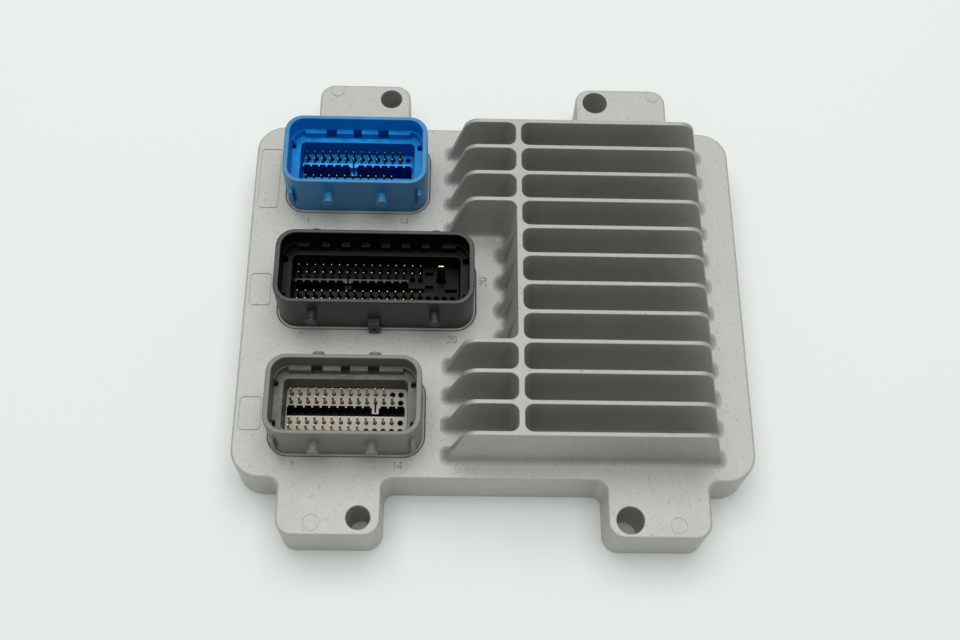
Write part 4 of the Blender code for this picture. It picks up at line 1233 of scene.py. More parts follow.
    def bolt_holes(self) -> list[list[Ring]]:
        """Cutters for the bolt holes, with softened mouths.

        Returns:
            The rings of each.
        """
        made = []
        foot = ((self.bolt_foot, -OVERRUN), (self.bolt_foot, 0.0), (0.0, self.bolt_foot))
        for x, side in self.lug_middles():
            radius = (self.narrow_bolt if x < 0 else self.wide_bolt) / 2
            y = side * (self.width / 2 + self.lug_reach - self.bolt_edge)
            steps = [*foot, *self.mouth(self.bolt_mouth, OVERRUN)]
            rings = [level(circle(radius + flare, 48), z) for flare, z in steps]
            made.append(moved(rings, x + (-1 if x > 0 else 1) * self.bolt_inset, y))
        return made

    def lug_cores(self) -> list[list[Ring]]:
        """Cutters that core each lug from below, beside its bolt hole.

        Returns:
            The rings of each.
        """
        made = []
        reach = self.lug_reach - self.core_wall
        steps = [(0.0, -OVERRUN)] + [(inset, LEVELS.ceiling - depth) for inset, depth in self.core_roof]
        for x, side in self.lug_middles():
            offset = (1 if x > 0 else -1) * (self.lug_length / 2 - self.core_wall - self.core_length / 2)
            rings = [level(rounded_rectangle(self.core_length - 2 * inset, reach - 2 * inset,
                                             self.core_radius), z) for inset, z in steps]
            made.append(moved(rings, x + offset, side * (self.width / 2 + reach / 2)))
        return made

    def openings(self) -> list[list[Ring]]:
        """Cutters for the openings that the headers stand in, with softened top edges.

        Returns:
            The rings of each.
        """
        steps = [(0.0, LEVELS.ceiling - OVERRUN), *self.mouth(self.opening_mouth, OVERRUN / 2)]
        return [moved([level(plan.around(self.slit + flare), z) for flare, z in steps], *plan.centre)
                for plan in HEADERS]

    def groove(self, outer: Outline, inner: Outline, depth: float) -> list[Ring]:
        """A cutter for a fine groove in the face.

        Args:
            outer: Its outer edge.
            inner: Its inner edge.
            depth: How deep it is.

        Returns:
            Its rings, to be joined all round.
        """
        top = LEVELS.face + OVERRUN / 4
        bottom = LEVELS.face - depth
        return [level(outer, bottom), level(outer, top), level(inner, top), level(inner, bottom)]

    def grooves(self) -> bpy.types.Object:
        """Builds the cutter for the rings that ejector pins left and the frames of the bare label places.

        Returns:
            The cutter.
        """
        form = Form("grooves")
        ring = self.groove(circle(self.ejector_radius, 40), circle(self.ejector_inner, 40),
                           self.ejector_depth)
        for place in self.ejector_places:
            form.skin(moved(ring, *place), around=True)
        width = self.label_right - self.label_left
        middle = (self.label_left + self.label_right) / 2
        line = self.label_line
        for front, back in self.label_spans:
            outer = rounded_rectangle(width, back - front, self.label_corner)
            inner = rounded_rectangle(width - 2 * line, back - front - 2 * line, self.label_corner - line)
            frame_rings = self.groove(outer, inner, self.label_depth)
            form.skin(moved(frame_rings, middle, (front + back) / 2), around=True)
        return form.made()

    def screw_bosses(self) -> list[list[Ring]]:
        """Bosses for the screws of the back plate and the board, and the pedestal over the driver chips.

        Returns:
            The rings of each.
        """
        top = LEVELS.ceiling + ROOT
        plate = prism(circle(self.plate_boss), self.shoulder, top)
        board = prism(circle(self.board_boss), LEVELS.board_top + GAP, top)
        pedestal = rounded_rectangle(self.pedestal_length, self.pedestal_width, self.pedestal_corner)
        made = [moved(plate, *place) for place in BackPlate().screw_places]
        made += [moved(board, *place) for place in InnerBoard().screw_places]
        return [*made, moved(prism(pedestal, self.pedestal_bottom, top), *self.pedestal_place)]

    def pilot_holes(self) -> list[list[Ring]]:
        """Cutters for the screws in the bosses.

        Returns:
            The rings of each.
        """
        plate = prism(circle(self.pilot), self.shoulder - OVERRUN / 2, self.plate_pilot_top)
        board = prism(circle(self.pilot), LEVELS.board_top - OVERRUN / 2, self.board_pilot_top)
        made = [moved(plate, *place) for place in BackPlate().screw_places]
        return made + [moved(board, *place) for place in InnerBoard().screw_places]

    def built(self) -> None:
        """Builds and dresses the cover."""
        cover = self.body()
        combined(cover, Joining.ADD, [self.fins.built()])
        room = prism(self.body_outline(self.side_wall), -OVERRUN, LEVELS.ceiling)
        recess = prism(self.body_outline(self.side_wall - self.shoulder_width), -OVERRUN, self.shoulder)
        combined(cover, Joining.CUT, [
            Form("room").skin(room).made(),
            Form("recess").skin(recess).made(),
            Form("openings").skins(self.openings()).made(),
            Form("bolt_holes").skins(self.bolt_holes()).made(),
            Form("lug_cores").skins(self.lug_cores()).made(),
            self.grooves(),
        ])
        combined(cover, Joining.ADD, [Form("bosses").skins(self.screw_bosses()).made()])
        combined(cover, Joining.CUT, [Form("pilots").skins(self.pilot_holes()).made()])
        dressed(cover, "cast", "cast_fins_shade")
        # The fins take the darker copy of the cast finish: painted shade for the channels between them.
        for face in cover.data.polygons:
            face.material_index = 1 if face.center.z > (LEVELS.face + self.fin_finish) * MM else 0
        placed(shaded(cover), "cast_aluminium", ["cast_housing"])


# Headers

def across(stations: Iterable[tuple[float, float]], z: float, sides: int) -> list[Ring]:
    """A round post that stands out towards the front.

    Args:
        stations: Distance from the wall and radius of each ring.
        z: Height of its axis.
        sides: Flats round it.

    Returns:
        Its rings from the wall out.
    """
    return [[(x, -away, z + y) for x, y in circle(radius, sides)] for away, radius in stations]


def block(length: float, width: float, bottom: float, top: float, edge: float) -> list[Ring]:
    """A small block with rounded edges, centred in plan.

    Args:
        length: Size along X.
        width: Size along Y.
        bottom: Height of its foot.
        top: Height of its top.
        edge: Radius of its top edge.

    Returns:
        Its rings from the foot up.
    """
    corner = 0.25
    least = 0.02

    def outline(inset: float) -> Outline:
        """The outline at an inset."""
        return rounded_rectangle(length - 2 * inset, width - 2 * inset, max(corner - inset, least), 3)

    foot = [level(outline(edge * 0.5), bottom), level(outline(0.0), bottom + edge * 0.5)]
    return foot + rounded_prism(outline, bottom + edge, top, edge)


class ShellFace(IntEnum):
    """Material slots of a shell. Inside the mouth it has painted light and shade, and its sunk faces have
    painted shade.
    """

    OUTSIDE = 0
    INSIDE = 1
    SUNK_SHADE = 2


@dataclass(frozen=True)
class HeaderShell:
    """The deep shell round one pin field, with its step, ledges, sockets, studs, corner tabs and latch."""

    plan: HeaderPlan
    outer_edge: float = 0.4
    inner_edge: float = 0.3
    root_fillet: float = 0.3
    ledge_width: float = 1.5
    ledge_end: float = 1.4
    ledge_edge: float = 0.3
    least_ledge: float = 0.5
    keyway_drop: float = 1.8
    keyway_recess: float = 0.5
    keyway_corner: float = 0.2
    crescent_width: float = 0.45
    crescent_root: float = 0.3
    crescent_gap: float = 0.04  # angle left free at each end
    socket: float = 1.6
    socket_inset: float = 0.95
    socket_shift: float = 0.65  # of the left ones, into the end wall
    socket_y: float = 6.3
    socket_depth: float = 2.6
    socket_corner: float = 0.15
    socket_mouth: float = 0.12
    socket_run: float = 1.2
    pad_width: float = 1.2
    pad_rise: float = 0.55
    pad_edge: float = 0.15
    pad_gap: float = 0.75
    flange_width: float = 2.5
    stud_rise: float = 10.5
    stud_radius: float = 1.85
    stud_reach: float = 3.4
    stud_flats: int = 28
    stud_foot: tuple[Point, ...] = ((-0.6, 0.05), (0.0, 0.05), (0.15, 0.25))  # way out and inset
    stud_tip: tuple[Point, ...] = ((0.9, 0.25), (0.65, 0.04), (0.15, 0.0), (0.04, 0.06), (0.0, 0.2))
    tab_width: float = 1.3
    tab_inset: float = 2.4
    tab_front: float = 13.3
    tab_back: float = 10.2
    tab_foot: float = 4.2
    tab_top: float = 12.3
    tab_edge: float = 0.35
    latch_width: float = 3.7
    latch_depth: float = 2.25
    latch_root: float = 0.6
    latch_foot: float = 0.3
    latch_top: float = 6.5
    latch_edge: float = 0.45
    pocket_width: float = 1.7
    pocket_reach: float = 2.4
    pocket_foot: float = 2.45
    pocket_top: float = 4.05
    pocket_corner: float = 0.2
    outer_skin: float = 0.6  # depth in the wall that still has the outside's finish
    rim_skin: float = 0.35  # and the height of the rim that has it
    keyed_skin: float = 1.0  # depth in the wall that a keyway reaches

    def ring(self, end: float, side: float, radius: float, z: float) -> Ring:
        """One ring of the shell's section."""
        return level(self.plan.outline(end, side, radius), z)

    def outside(self) -> list[Ring]:
        """The outside, with the flange and the rounded rim.

        Returns:
            Its rings from the foot up.
        """
        corner = self.plan.radius
        flange = self.flange_width
        rings = [
            self.ring(0, 0, corner, LEVELS.board_top + GAP),
            self.ring(0, 0, corner, LEVELS.flange_bottom),
            self.ring(-flange, -flange, corner + flange, LEVELS.flange_bottom),
            self.ring(-flange, -flange, corner + flange, LEVELS.flange_top),
            self.ring(0, 0, corner, LEVELS.flange_top),
        ]
        for angle in quarter_turn(3):
            inset = self.outer_edge * (1 - math.cos(angle))
            rise = LEVELS.rim - self.outer_edge * (1 - math.sin(angle))
            rings.append(self.ring(inset, inset, corner - inset, rise))
        return rings

    def edge(self, end: float, side: float, radius: float, top: float) -> list[Ring]:
        """A rounded inner edge.

        Args:
            end: Inset of the wall below it at the ends.
            side: Inset of that wall on the long sides.
            radius: Corner radius of that wall.
            top: Height of the level face above it.

        Returns:
            Its rings from the level face down into the wall.
        """
        rings = []
        for angle in quarter_turn(3):
            back = self.inner_edge * (1 - math.sin(angle))
            drop = self.inner_edge * (1 - math.cos(angle))
            rings.append(self.ring(end - back, side - back, radius + back, top - drop))
        return rings

    def section(self) -> list[Ring]:
        """The plain shell.

        Returns:
            Rings up the outside, over the rim, down the mouth, across the step and down the well.
        """
        plan = self.plan
        mouth = plan.radius - plan.side_wall
        rings = self.outside()
        rings += self.edge(plan.end_wall, plan.side_wall, mouth, LEVELS.rim)
        for angle in quarter_turn(2):
            out = self.root_fillet * (1 - math.cos(angle))
            rise = LEVELS.step + self.root_fillet * (1 - math.sin(angle))
            rings.append(self.ring(plan.end_wall + out, plan.side_wall + out, mouth - out, rise))
        rings += self.edge(plan.band_end, plan.band_side, plan.well_radius, LEVELS.step)
        rings.append(self.ring(plan.band_end, plan.band_side, plan.well_radius, LEVELS.board_top + GAP))
        return rings

    def ledge_spans(self) -> list[Point]:
        """Where the ledges stand between the keyways.

        Returns:
            Left and right end of each, from the left.
        """
        plan = self.plan
        half = plan.length / 2 - plan.band_end - self.ledge_end
        edges = [-half]
        for middle, width in plan.keyways:
            edges += [middle - width / 2, middle + width / 2]
        edges.append(half)
        return [(left, right) for left, right in zip(edges[::2], edges[1::2])
                if right - left > self.least_ledge]

    def ledges(self) -> list[list[Ring]]:
        """The raised ledges along both long walls, with rounded top edges.

        Returns:
            The rings of each.
        """
        wall = self.plan.width / 2 - self.plan.side_wall
        made = []
        for left, right in self.ledge_spans():
            def outline(inset: float, low: float = left, high: float = right) -> Outline:
                """The outline at an inset."""
                front = wall - self.ledge_width + inset
                return [(low + inset, front), (high - inset, front), (high - inset, wall + ROOT),
                        (low + inset, wall + ROOT)]

            rings = rounded_prism(outline, LEVELS.step - ROOT, LEVELS.ledge, self.ledge_edge)
            made += [rings, [[(x, -y, z) for x, y, z in reversed(ring)] for ring in rings]]
        return made

    def keyways(self) -> list[list[Ring]]:
        """Cutters that sink the step and hollow the wall in each keyway.

        Returns:
            The rings of each.
        """
        wall = self.plan.width / 2 - self.plan.side_wall
        middle = wall + (self.keyway_recess - self.ledge_width) / 2
        depth = self.ledge_width + self.keyway_recess
        made = []
        for x, width in self.plan.keyways:
            outline = rounded_rectangle(width, depth, self.keyway_corner, 2)
            slot = prism(outline, LEVELS.step - self.keyway_drop, LEVELS.ledge)
            made += [moved(slot, x, middle), moved(slot, x, -middle)]
        return made

    def crescents(self) -> list[list[Ring]]:
        """The narrow ledge that carries on round the corners of the mouth.

        Returns:
            The rings of its four parts.
        """
        plan = self.plan
        radius = plan.radius - plan.side_wall
        x = plan.length / 2 - plan.end_wall - radius
        y = plan.width / 2 - plan.side_wall - radius
        made = []
        for turn, (side, front) in enumerate(((1, 1), (-1, 1), (-1, -1), (1, -1))):
            first = turn * QUARTER + self.crescent_gap
            last = (turn + 1) * QUARTER - self.crescent_gap
            outline = arc((0.0, 0.0), radius + self.crescent_root, first, last, 8)
            outline += arc((0.0, 0.0), radius - self.crescent_width, last, first, 8)
            made.append(moved(prism(outline, LEVELS.step - ROOT, LEVELS.ledge), side * x, front * y))
        return made

    def pads(self) -> list[list[Ring]]:
        """Low pads on the step behind the sockets.

        Returns:
            The rings of each.
        """
        pad = block(self.socket, self.pad_width, LEVELS.step - ROOT, LEVELS.step + self.pad_rise,
                    self.pad_edge)
        y = self.socket_y + self.socket / 2 + self.pad_gap
        return [moved(pad, x, place) for x in self.socket_x() for place in (y, y - 2 * self.socket_y)]

    def socket_x(self) -> Point:
        """Where the sockets stand along the header: the left ones reach into the end wall."""
        right = self.plan.length / 2 - self.plan.end_wall - self.socket_inset
        return -right - self.socket_shift, right

    def sockets(self) -> list[list[Ring]]:
        """Cutters for the square sockets in the step at both ends.

        Returns:
            The rings of each.
        """
        mouth = self.socket_mouth
        stages = ((0.0, LEVELS.step - self.socket_depth), (0.0, LEVELS.step - mouth), (mouth, LEVELS.step),
                  (mouth, LEVELS.step + self.socket_run))
        hole = []
        for flare, z in stages:
            side = self.socket + 2 * flare
            hole.append(level(rounded_rectangle(side, side, self.socket_corner + flare, 2), z))
        return [moved(hole, x, y) for x in self.socket_x() for y in (-self.socket_y, self.socket_y)]

    def studs(self) -> list[list[Ring]]:
        """Round cam studs on both long walls.

        Returns:
            The rings of each.
        """
        wall = self.plan.width / 2
        stations = [(away, self.stud_radius - inset) for away, inset in self.stud_foot]
        stations += [(self.stud_reach - back, self.stud_radius - inset) for back, inset in self.stud_tip]
        stud = across(stations, LEVELS.face + self.stud_rise, self.stud_flats)
        made = []
        for side in (-1, 1):
            x = self.plan.keying_shift + side * self.plan.stud_offset
            made += [moved(stud, x, -wall), moved(turned_about(stud), x, wall)]
        return made

    def tabs(self) -> list[list[Ring]]:
        """Thin tabs on the front corners of the small headers.

        Returns:
            The rings of each.
        """
        depth = self.tab_front - self.tab_back
        middle = -(self.tab_front + self.tab_back) / 2
        x = self.plan.length / 2 - self.tab_inset
        tab = block(self.tab_width, depth, LEVELS.face + self.tab_foot, LEVELS.face + self.tab_top,
                    self.tab_edge)
        return [] if self.plan.powered else [moved(tab, side * x, middle) for side in (-1, 1)]

    def latch(self) -> bpy.types.Object:
        """Builds the latch block at the foot of the front wall, with a pocket in its face.

        Returns:
            The block.
        """
        front = -self.plan.width / 2 - self.latch_depth
        depth = self.latch_depth + self.latch_root
        x = self.plan.keying_shift
        rings = block(self.latch_width, depth, LEVELS.face + self.latch_foot, LEVELS.face + self.latch_top,
                      self.latch_edge)
        body = Form("latch").skin(moved(rings, x, front + depth / 2)).made()
        outline = rounded_rectangle(self.pocket_width, self.pocket_reach, self.pocket_corner, 2)
        pocket = prism(outline, LEVELS.face + self.pocket_foot, LEVELS.face + self.pocket_top)
        return combined(body, Joining.CUT, [Form("pocket").skin(moved(pocket, x, front)).made()])

    def lined(self, x: float, y: float, z: float) -> ShellFace:
        """The slot for a face of the shell.

        Args:
            x: Place of its middle along the header.
            y: Place across it.
            z: Height.

        Returns:
            The slot: outside; inside the mouth, with painted light and shade; or sunk in the step or the
                wall, with painted shade.
        """
        plan = self.plan
        out_x = abs(x) - plan.length / 2 + plan.radius
        out_y = abs(y) - plan.width / 2 + plan.radius
        depth = plan.radius - (math.hypot(out_x, out_y) if min(out_x, out_y) > 0 else max(out_x, out_y))
        if depth <= self.outer_skin or z >= LEVELS.rim - self.rim_skin:
            return ShellFace.OUTSIDE
        sunk = z < LEVELS.step - self.rim_skin or depth < self.keyed_skin
        return ShellFace.SUNK_SHADE if sunk else ShellFace.INSIDE

    def built(self) -> None:
        """Builds and dresses the shell."""
        plan = self.plan
        shell = Form(f"{plan.name}_shell").skin(self.section(), around=True).made()
        combined(shell, Joining.CUT, [
            Form("sockets").skins(self.sockets()).made(),
            Form("keyways").skins(self.keyways()).made(),
        ])
        extras = [
            Form("studs").skins(self.studs() + self.tabs()).made(),
            Form("ledges").skins(self.ledges()).made(),
            Form("pads").skins(self.pads()).made(),
            Form("crescents").skins(self.crescents()).made(),
        ]
        if plan.powered:
            extras.append(self.latch())
        combined(shell, Joining.ADD, extras)
        # Inside the mouth the shell has painted light and shade, and in the well and the keyways painted
        # shade.
        dressed(shell, plan.name, f"{plan.name}_inside", f"{plan.name}_well_shade")
        for face in shell.data.polygons:
            face.material_index = self.lined(*(face.center / MM))
        shift(shell, plan.centre)
        placed(shaded(shell), f"{plan.name}_plastic", [f"{plan.name}_header_shell"])


class FloorFace(IntEnum):
    """Material slots of a pin floor: painted shade in the trench and the holes, and a painted glint on the
    ridge's top.
    """

    FLOOR = 0
    DEEP_SHADE = 1
    RIDGE_GLINT = 2


class PinFace(IntEnum):
    """Material slots of the pins and the blade: the gold tip, and the shank in painted shade."""

    TIP = 0
    SHADED_SHANK = 1


@dataclass(frozen=True)
class PinField:
    """The moulded floor of one header's well, with its funnels and trench, and the plated pins in it."""

    plan: HeaderPlan
    play: float = 0.12  # between the floor and the well round it
    floor_edge: float = 0.2
    deep_from: float = 0.2  # depth at which the painted shade of the trench and the holes begins
    ridge_from: float = 0.3  # height at which the painted glint on the ridge's top begins
    pin_width: float = 0.64
    pin_corner: float = 0.08
    pin_root: float = 1.7
    taper_drop: float = 1.15
    taper: Point = (0.06, 1.0)  # how much narrower a pin is there, and how far under its tip
    tip_width: float = 0.26
    point: Point = (0.1, 0.12)  # how much wider than the tip a pin is there, and how far under it
    gilt: float = 1.05  # length of the tip that keeps the plain gold, above the painted shade
    pin_bore: float = 0.5
    pin_bore_depth: float = 1.6
    pin_cone: float = 0.9
    hole: float = 0.85
    hole_bore: float = 0.62
    hole_depth: float = 2.6
    hole_cone: float = 0.7
    mouth_edge: float = 0.12
    mouth_flare: float = 0.06
    mouth_run: float = 0.6
    trench_end: float = 1.3
    trench_front: float = 1.2
    trench_back: float = 1.5
    trench_depth: float = 6.5
    narrow_back: float = 0.3
    notch: float = 0.65
    notch_width: float = 2.0
    ridge_left: float = 1.5
    ridge_back: float = 2.8
    ridge_overlap: float = 0.4
    ridge_edge: float = 0.15
    tongue_reach: float = 1.85
    tongue_slot: float = 0.56
    tongue_slot_corner: float = 0.1
    tongue_slot_depth: float = 2.2
    tongue_slot_shift: float = 0.35
    blade_play: float = 0.7
    blade_slot_corner: float = 0.3
    blade_slot_depth: float = 2.8
    blade_pocket_depth: float = 1.5

    def trench(self) -> list[Ring]:
        """Cutter for the trench between the inner rows.

        Returns:
            Its rings. The back edge has a notch for each column, a tongue at one and, in the large header, a
            plain end.
        """
        plan = self.plan
        columns = min(plan.holes)
        left = plan.column_x(0) - self.trench_end
        right = plan.column_x(columns - 1) + self.trench_end
        plain = columns - plan.narrow_columns
        back = self.trench_back
        outline = [(left, -self.trench_front), (right, -self.trench_front)]
        if plan.narrow_columns:
            turn = plan.column_x(plain) - self.trench_end
            outline += [(right, self.narrow_back), (turn, self.narrow_back), (turn, back)]
        else:
            outline.append((right, back))
        half = self.notch_width / 2
        for column in reversed(range(plain)):
            x = plan.column_x(column)
            far = back + (-self.tongue_reach if column == plan.tongue_column else self.notch)
            outline += [(x + half, back), (x + half, far), (x - half, far), (x - half, back)]
        outline.append((left, back))
        top = LEVELS.pin_floor + plan.ridge + OVERRUN / 2
        return prism(outline, LEVELS.pin_floor - self.trench_depth, top)

    def ridge(self) -> list[Ring]:
        """The ridge that stands behind the trench, before its front is notched.

        Returns:
            Its rings from the foot up.
        """
        plan = self.plan
        plain = min(plan.holes) - plan.narrow_columns
        left = plan.column_x(0) - self.ridge_left
        right = plan.column_x(plain - 1) + self.trench_end
        front = self.trench_back - self.ridge_overlap
        top = LEVELS.pin_floor + plan.ridge
        rings = block(right - left, self.ridge_back - front, LEVELS.pin_floor - ROOT, top, self.ridge_edge)
        return moved(rings, (left + right) / 2, (self.ridge_back + front) / 2)

    def slot_in_tongue(self) -> list[Ring]:
        """Cutter for the slot that runs from a pin's hole out to the tip of the tongue.

        Returns:
            Its rings from the bottom up.
        """
        plan = self.plan
        tip = self.trench_back - self.tongue_reach
        back = plan.rows[1]
        outline = rounded_rectangle(self.tongue_slot, back - tip, self.tongue_slot_corner, 2)
        slot = prism(outline, LEVELS.pin_floor - self.tongue_slot_depth,
                     LEVELS.pin_floor + plan.ridge + OVERRUN / 2)
        return moved(slot, plan.column_x(plan.tongue_column), (back + tip) / 2 + self.tongue_slot_shift)

    def blade_pockets(self) -> bpy.types.Object:
        """Builds the cutter for the blade's slot and for the three pockets round it.

        Returns:
            The cutter.
        """
        x = BLACK.column_x(PowerBlade.column)
        y = PowerBlade.offset
        bottom = LEVELS.pin_floor - self.blade_pocket_depth
        top = LEVELS.pin_floor + OVERRUN / 2
        back = [(-5.04, 1.65), (-2.5, 1.65), (-2.5, 2.92), (-3.6, 2.92), (-5.04, 2.92)]
        front = [(-5.04, -4.19), (-3.3, -4.19), (-2.5, -3.3), (-2.5, -1.65), (-5.04, -1.65)]
        side = [(1.23, -4.19), (5.04, -4.19), (5.04, -2.92), (1.23, -2.92)]
        slot = rounded_rectangle(PowerBlade.width + self.blade_play, PowerBlade.thickness + self.blade_play,
                                 self.blade_slot_corner, 3)
        form = Form("blade_pockets").skin(moved(prism(slot, bottom - self.blade_slot_depth, top), x, y))
        return form.skins(moved(prism(outline, bottom, top), x, y) for outline in (back, front, side)).made()

    def funnel(self, bore: float, depth: float, mouth: float, cone: float) -> list[Ring]:
        """Cutter for a round hole that widens to its mouth in the floor.

        Args:
            bore: Radius at the bottom.
            depth: Depth of the bottom.
            mouth: Radius just under the floor.
            cone: Depth at which it begins to widen.

        Returns:
            Its rings from the bottom up.
        """
        top = LEVELS.pin_floor
        flare = mouth + self.mouth_flare
        stages = ((bore, top - depth), (bore, top - cone), (mouth, top - self.mouth_edge), (flare, top),
                  (flare, top + self.mouth_run))
        return [level(circle(radius, 16), z) for radius, z in stages]

    def funnels(self) -> list[list[Ring]]:
        """Cutters for the funnel round each pin and for the holes without one.

        Returns:
            The rings of each.
        """
        filled = self.funnel(self.pin_bore, self.pin_bore_depth, self.plan.funnel, self.pin_cone)
        empty = self.funnel(self.hole_bore, self.hole_depth, self.hole, self.hole_cone)
        made = [moved(filled, *place) for place in self.plan.pin_places]
        return made + [moved(empty, *place) for place in self.plan.empty_places]

    def floor(self) -> None:
        """Builds and dresses the moulded floor."""
        plan = self.plan

        def outline(inset: float) -> Outline:
            """The outline at an inset."""
            return plan.outline(plan.band_end + self.play + inset, plan.band_side + self.play + inset,
                                plan.well_radius - self.play - inset)

        rings = rounded_prism(outline, LEVELS.board_top + GAP, LEVELS.pin_floor, self.floor_edge)
        floor = Form(f"{plan.name}_floor").skin(rings).made()
        tools = [Form("funnels").skins(self.funnels()).made()]
        if plan.powered:
            tools.append(self.blade_pockets())
        combined(floor, Joining.CUT, tools)
        if plan.ridge:
            combined(floor, Joining.ADD, [Form("ridge").skin(self.ridge()).made()])
        combined(floor, Joining.CUT, [
            Form("trench").skin(self.trench()).made(),
            Form("tongue_slot").skin(self.slot_in_tongue()).made(),
        ])
        # Below the floor, the trench, the holes and the pockets take painted shade, and the ridge's top takes
        # a painted glint.
        dressed(floor, f"{plan.name}_floor", f"{plan.name}_deep_shade", f"{plan.name}_edge")
        for face in floor.data.polygons:
            height = face.center.z / MM - LEVELS.pin_floor
            raised = height > self.ridge_from and face.normal.z > 0.5
            higher = FloorFace.RIDGE_GLINT if raised else FloorFace.FLOOR
            face.material_index = FloorFace.DEEP_SHADE if height < -self.deep_from else higher
        shift(floor, plan.centre)
        placed(shaded(floor), f"{plan.name}_plastic", [f"{plan.name}_pin_block"])

    def pins(self) -> None:
        """Builds and dresses the pins."""
        plan = self.plan
        narrower, shoulder = self.taper
        wider, under = self.point
        stages = ((self.pin_width, LEVELS.pin_floor - self.pin_root),
                  (self.pin_width, LEVELS.pin_tip - self.taper_drop),
                  (self.pin_width - narrower, LEVELS.pin_tip - shoulder),
                  (self.tip_width + wider, LEVELS.pin_tip - under),
                  (self.tip_width, LEVELS.pin_tip))
        pin = [level(rounded_rectangle(width, width, self.pin_corner, 1), z) for width, z in stages]
        form = Form(f"{plan.name}_pins").skins(moved(pin, *place) for place in plan.pin_places)
        # Below the tip the pins take a darker copy of the gold: painted shade.
        pins = dressed(form.made(), "gold", plan.shank)
        for face in pins.data.polygons:
            bright = face.center.z > (LEVELS.pin_tip - self.gilt) * MM
            face.material_index = PinFace.TIP if bright else PinFace.SHADED_SHANK
        shift(pins, plan.centre)
        placed(shaded(pins), "brass", [f"{plan.name}_pin_block"])

    def built(self) -> None:
        """Builds the floor and the pins."""
        self.floor()
        self.pins()


@dataclass(frozen=True)
class PowerBlade:
    """The flat power contact of the large header, plain gold at its tip and in painted shade below."""

    width: float = 2.5
    thickness: float = 0.8
    corner: float = 0.12
    root: float = 4.0
    rise: float = 12.5
    column: float = 17.57
    offset: float = 3.0
    bright: float = 1.75
    tip: tuple[Place, ...] = ((0.0, 0.0, 0.95), (0.1, 0.05, 0.7), (0.36, 0.16, 0.1), (0.45, 0.25, 0.0))

    def built(self) -> None:
        """Builds and dresses the blade, whose tip is given as insets along and across, and depth."""
        top = LEVELS.face + self.rise
        stages = [(0.0, 0.0, LEVELS.pin_floor - self.root), (0.0, 0.0, top - self.bright)]
        stages += [(end, side, top - depth) for end, side, depth in self.tip]
        rings = [level(rounded_rectangle(self.width - 2 * end, self.thickness - 2 * side, self.corner, 3), z)
                 for end, side, z in stages]
        # Below its tip the blade takes a darker copy of the gold: painted shade.
        blade = dressed(Form("power_blade").skin(rings).made(), "gold", "dark_shaded_gold")
        for face in blade.data.polygons:
            bright = face.center.z > (top - self.bright) * MM
            face.material_index = PinFace.TIP if bright else PinFace.SHADED_SHANK
        x, y = BLACK.centre
        shift(blade, (x + BLACK.column_x(self.column), y + self.offset))
        placed(shaded(blade), "brass", ["black_power_blade"])


@dataclass(frozen=True)
class SealantBead:
    """The ring of sealant between a shell and the cover."""

    plan: HeaderPlan
    play: float = 0.02
    width: float = 0.66
    edge: float = 0.12
    seat: float = 0.25  # depth under the face to which its outer side is upright
    lip: float = 0.05
    proud: float = 0.08
    crown: float = 0.55  # share of the width at which it stands highest
    slump: float = 0.6  # share of that height at the shell

    def built(self) -> None:
        """Builds and dresses the ring."""
        plan = self.plan
        stages = ((self.play, LEVELS.ceiling), (self.width, LEVELS.ceiling),
                  (self.width, LEVELS.face - self.seat), (self.width - self.edge, LEVELS.face - self.lip),
                  (self.width * self.crown, LEVELS.face + self.proud),
                  (self.edge, LEVELS.face + self.proud * self.slump), (self.play, LEVELS.face))
        rings = [level(plan.around(margin), z) for margin, z in stages]
        bead = shift(Form(f"{plan.name}_bead").skin(rings, around=True).made(), plan.centre)
        placed(shaded(dressed(bead, "sealant")), "silicone", [f"{plan.name}_sealant_bead"])


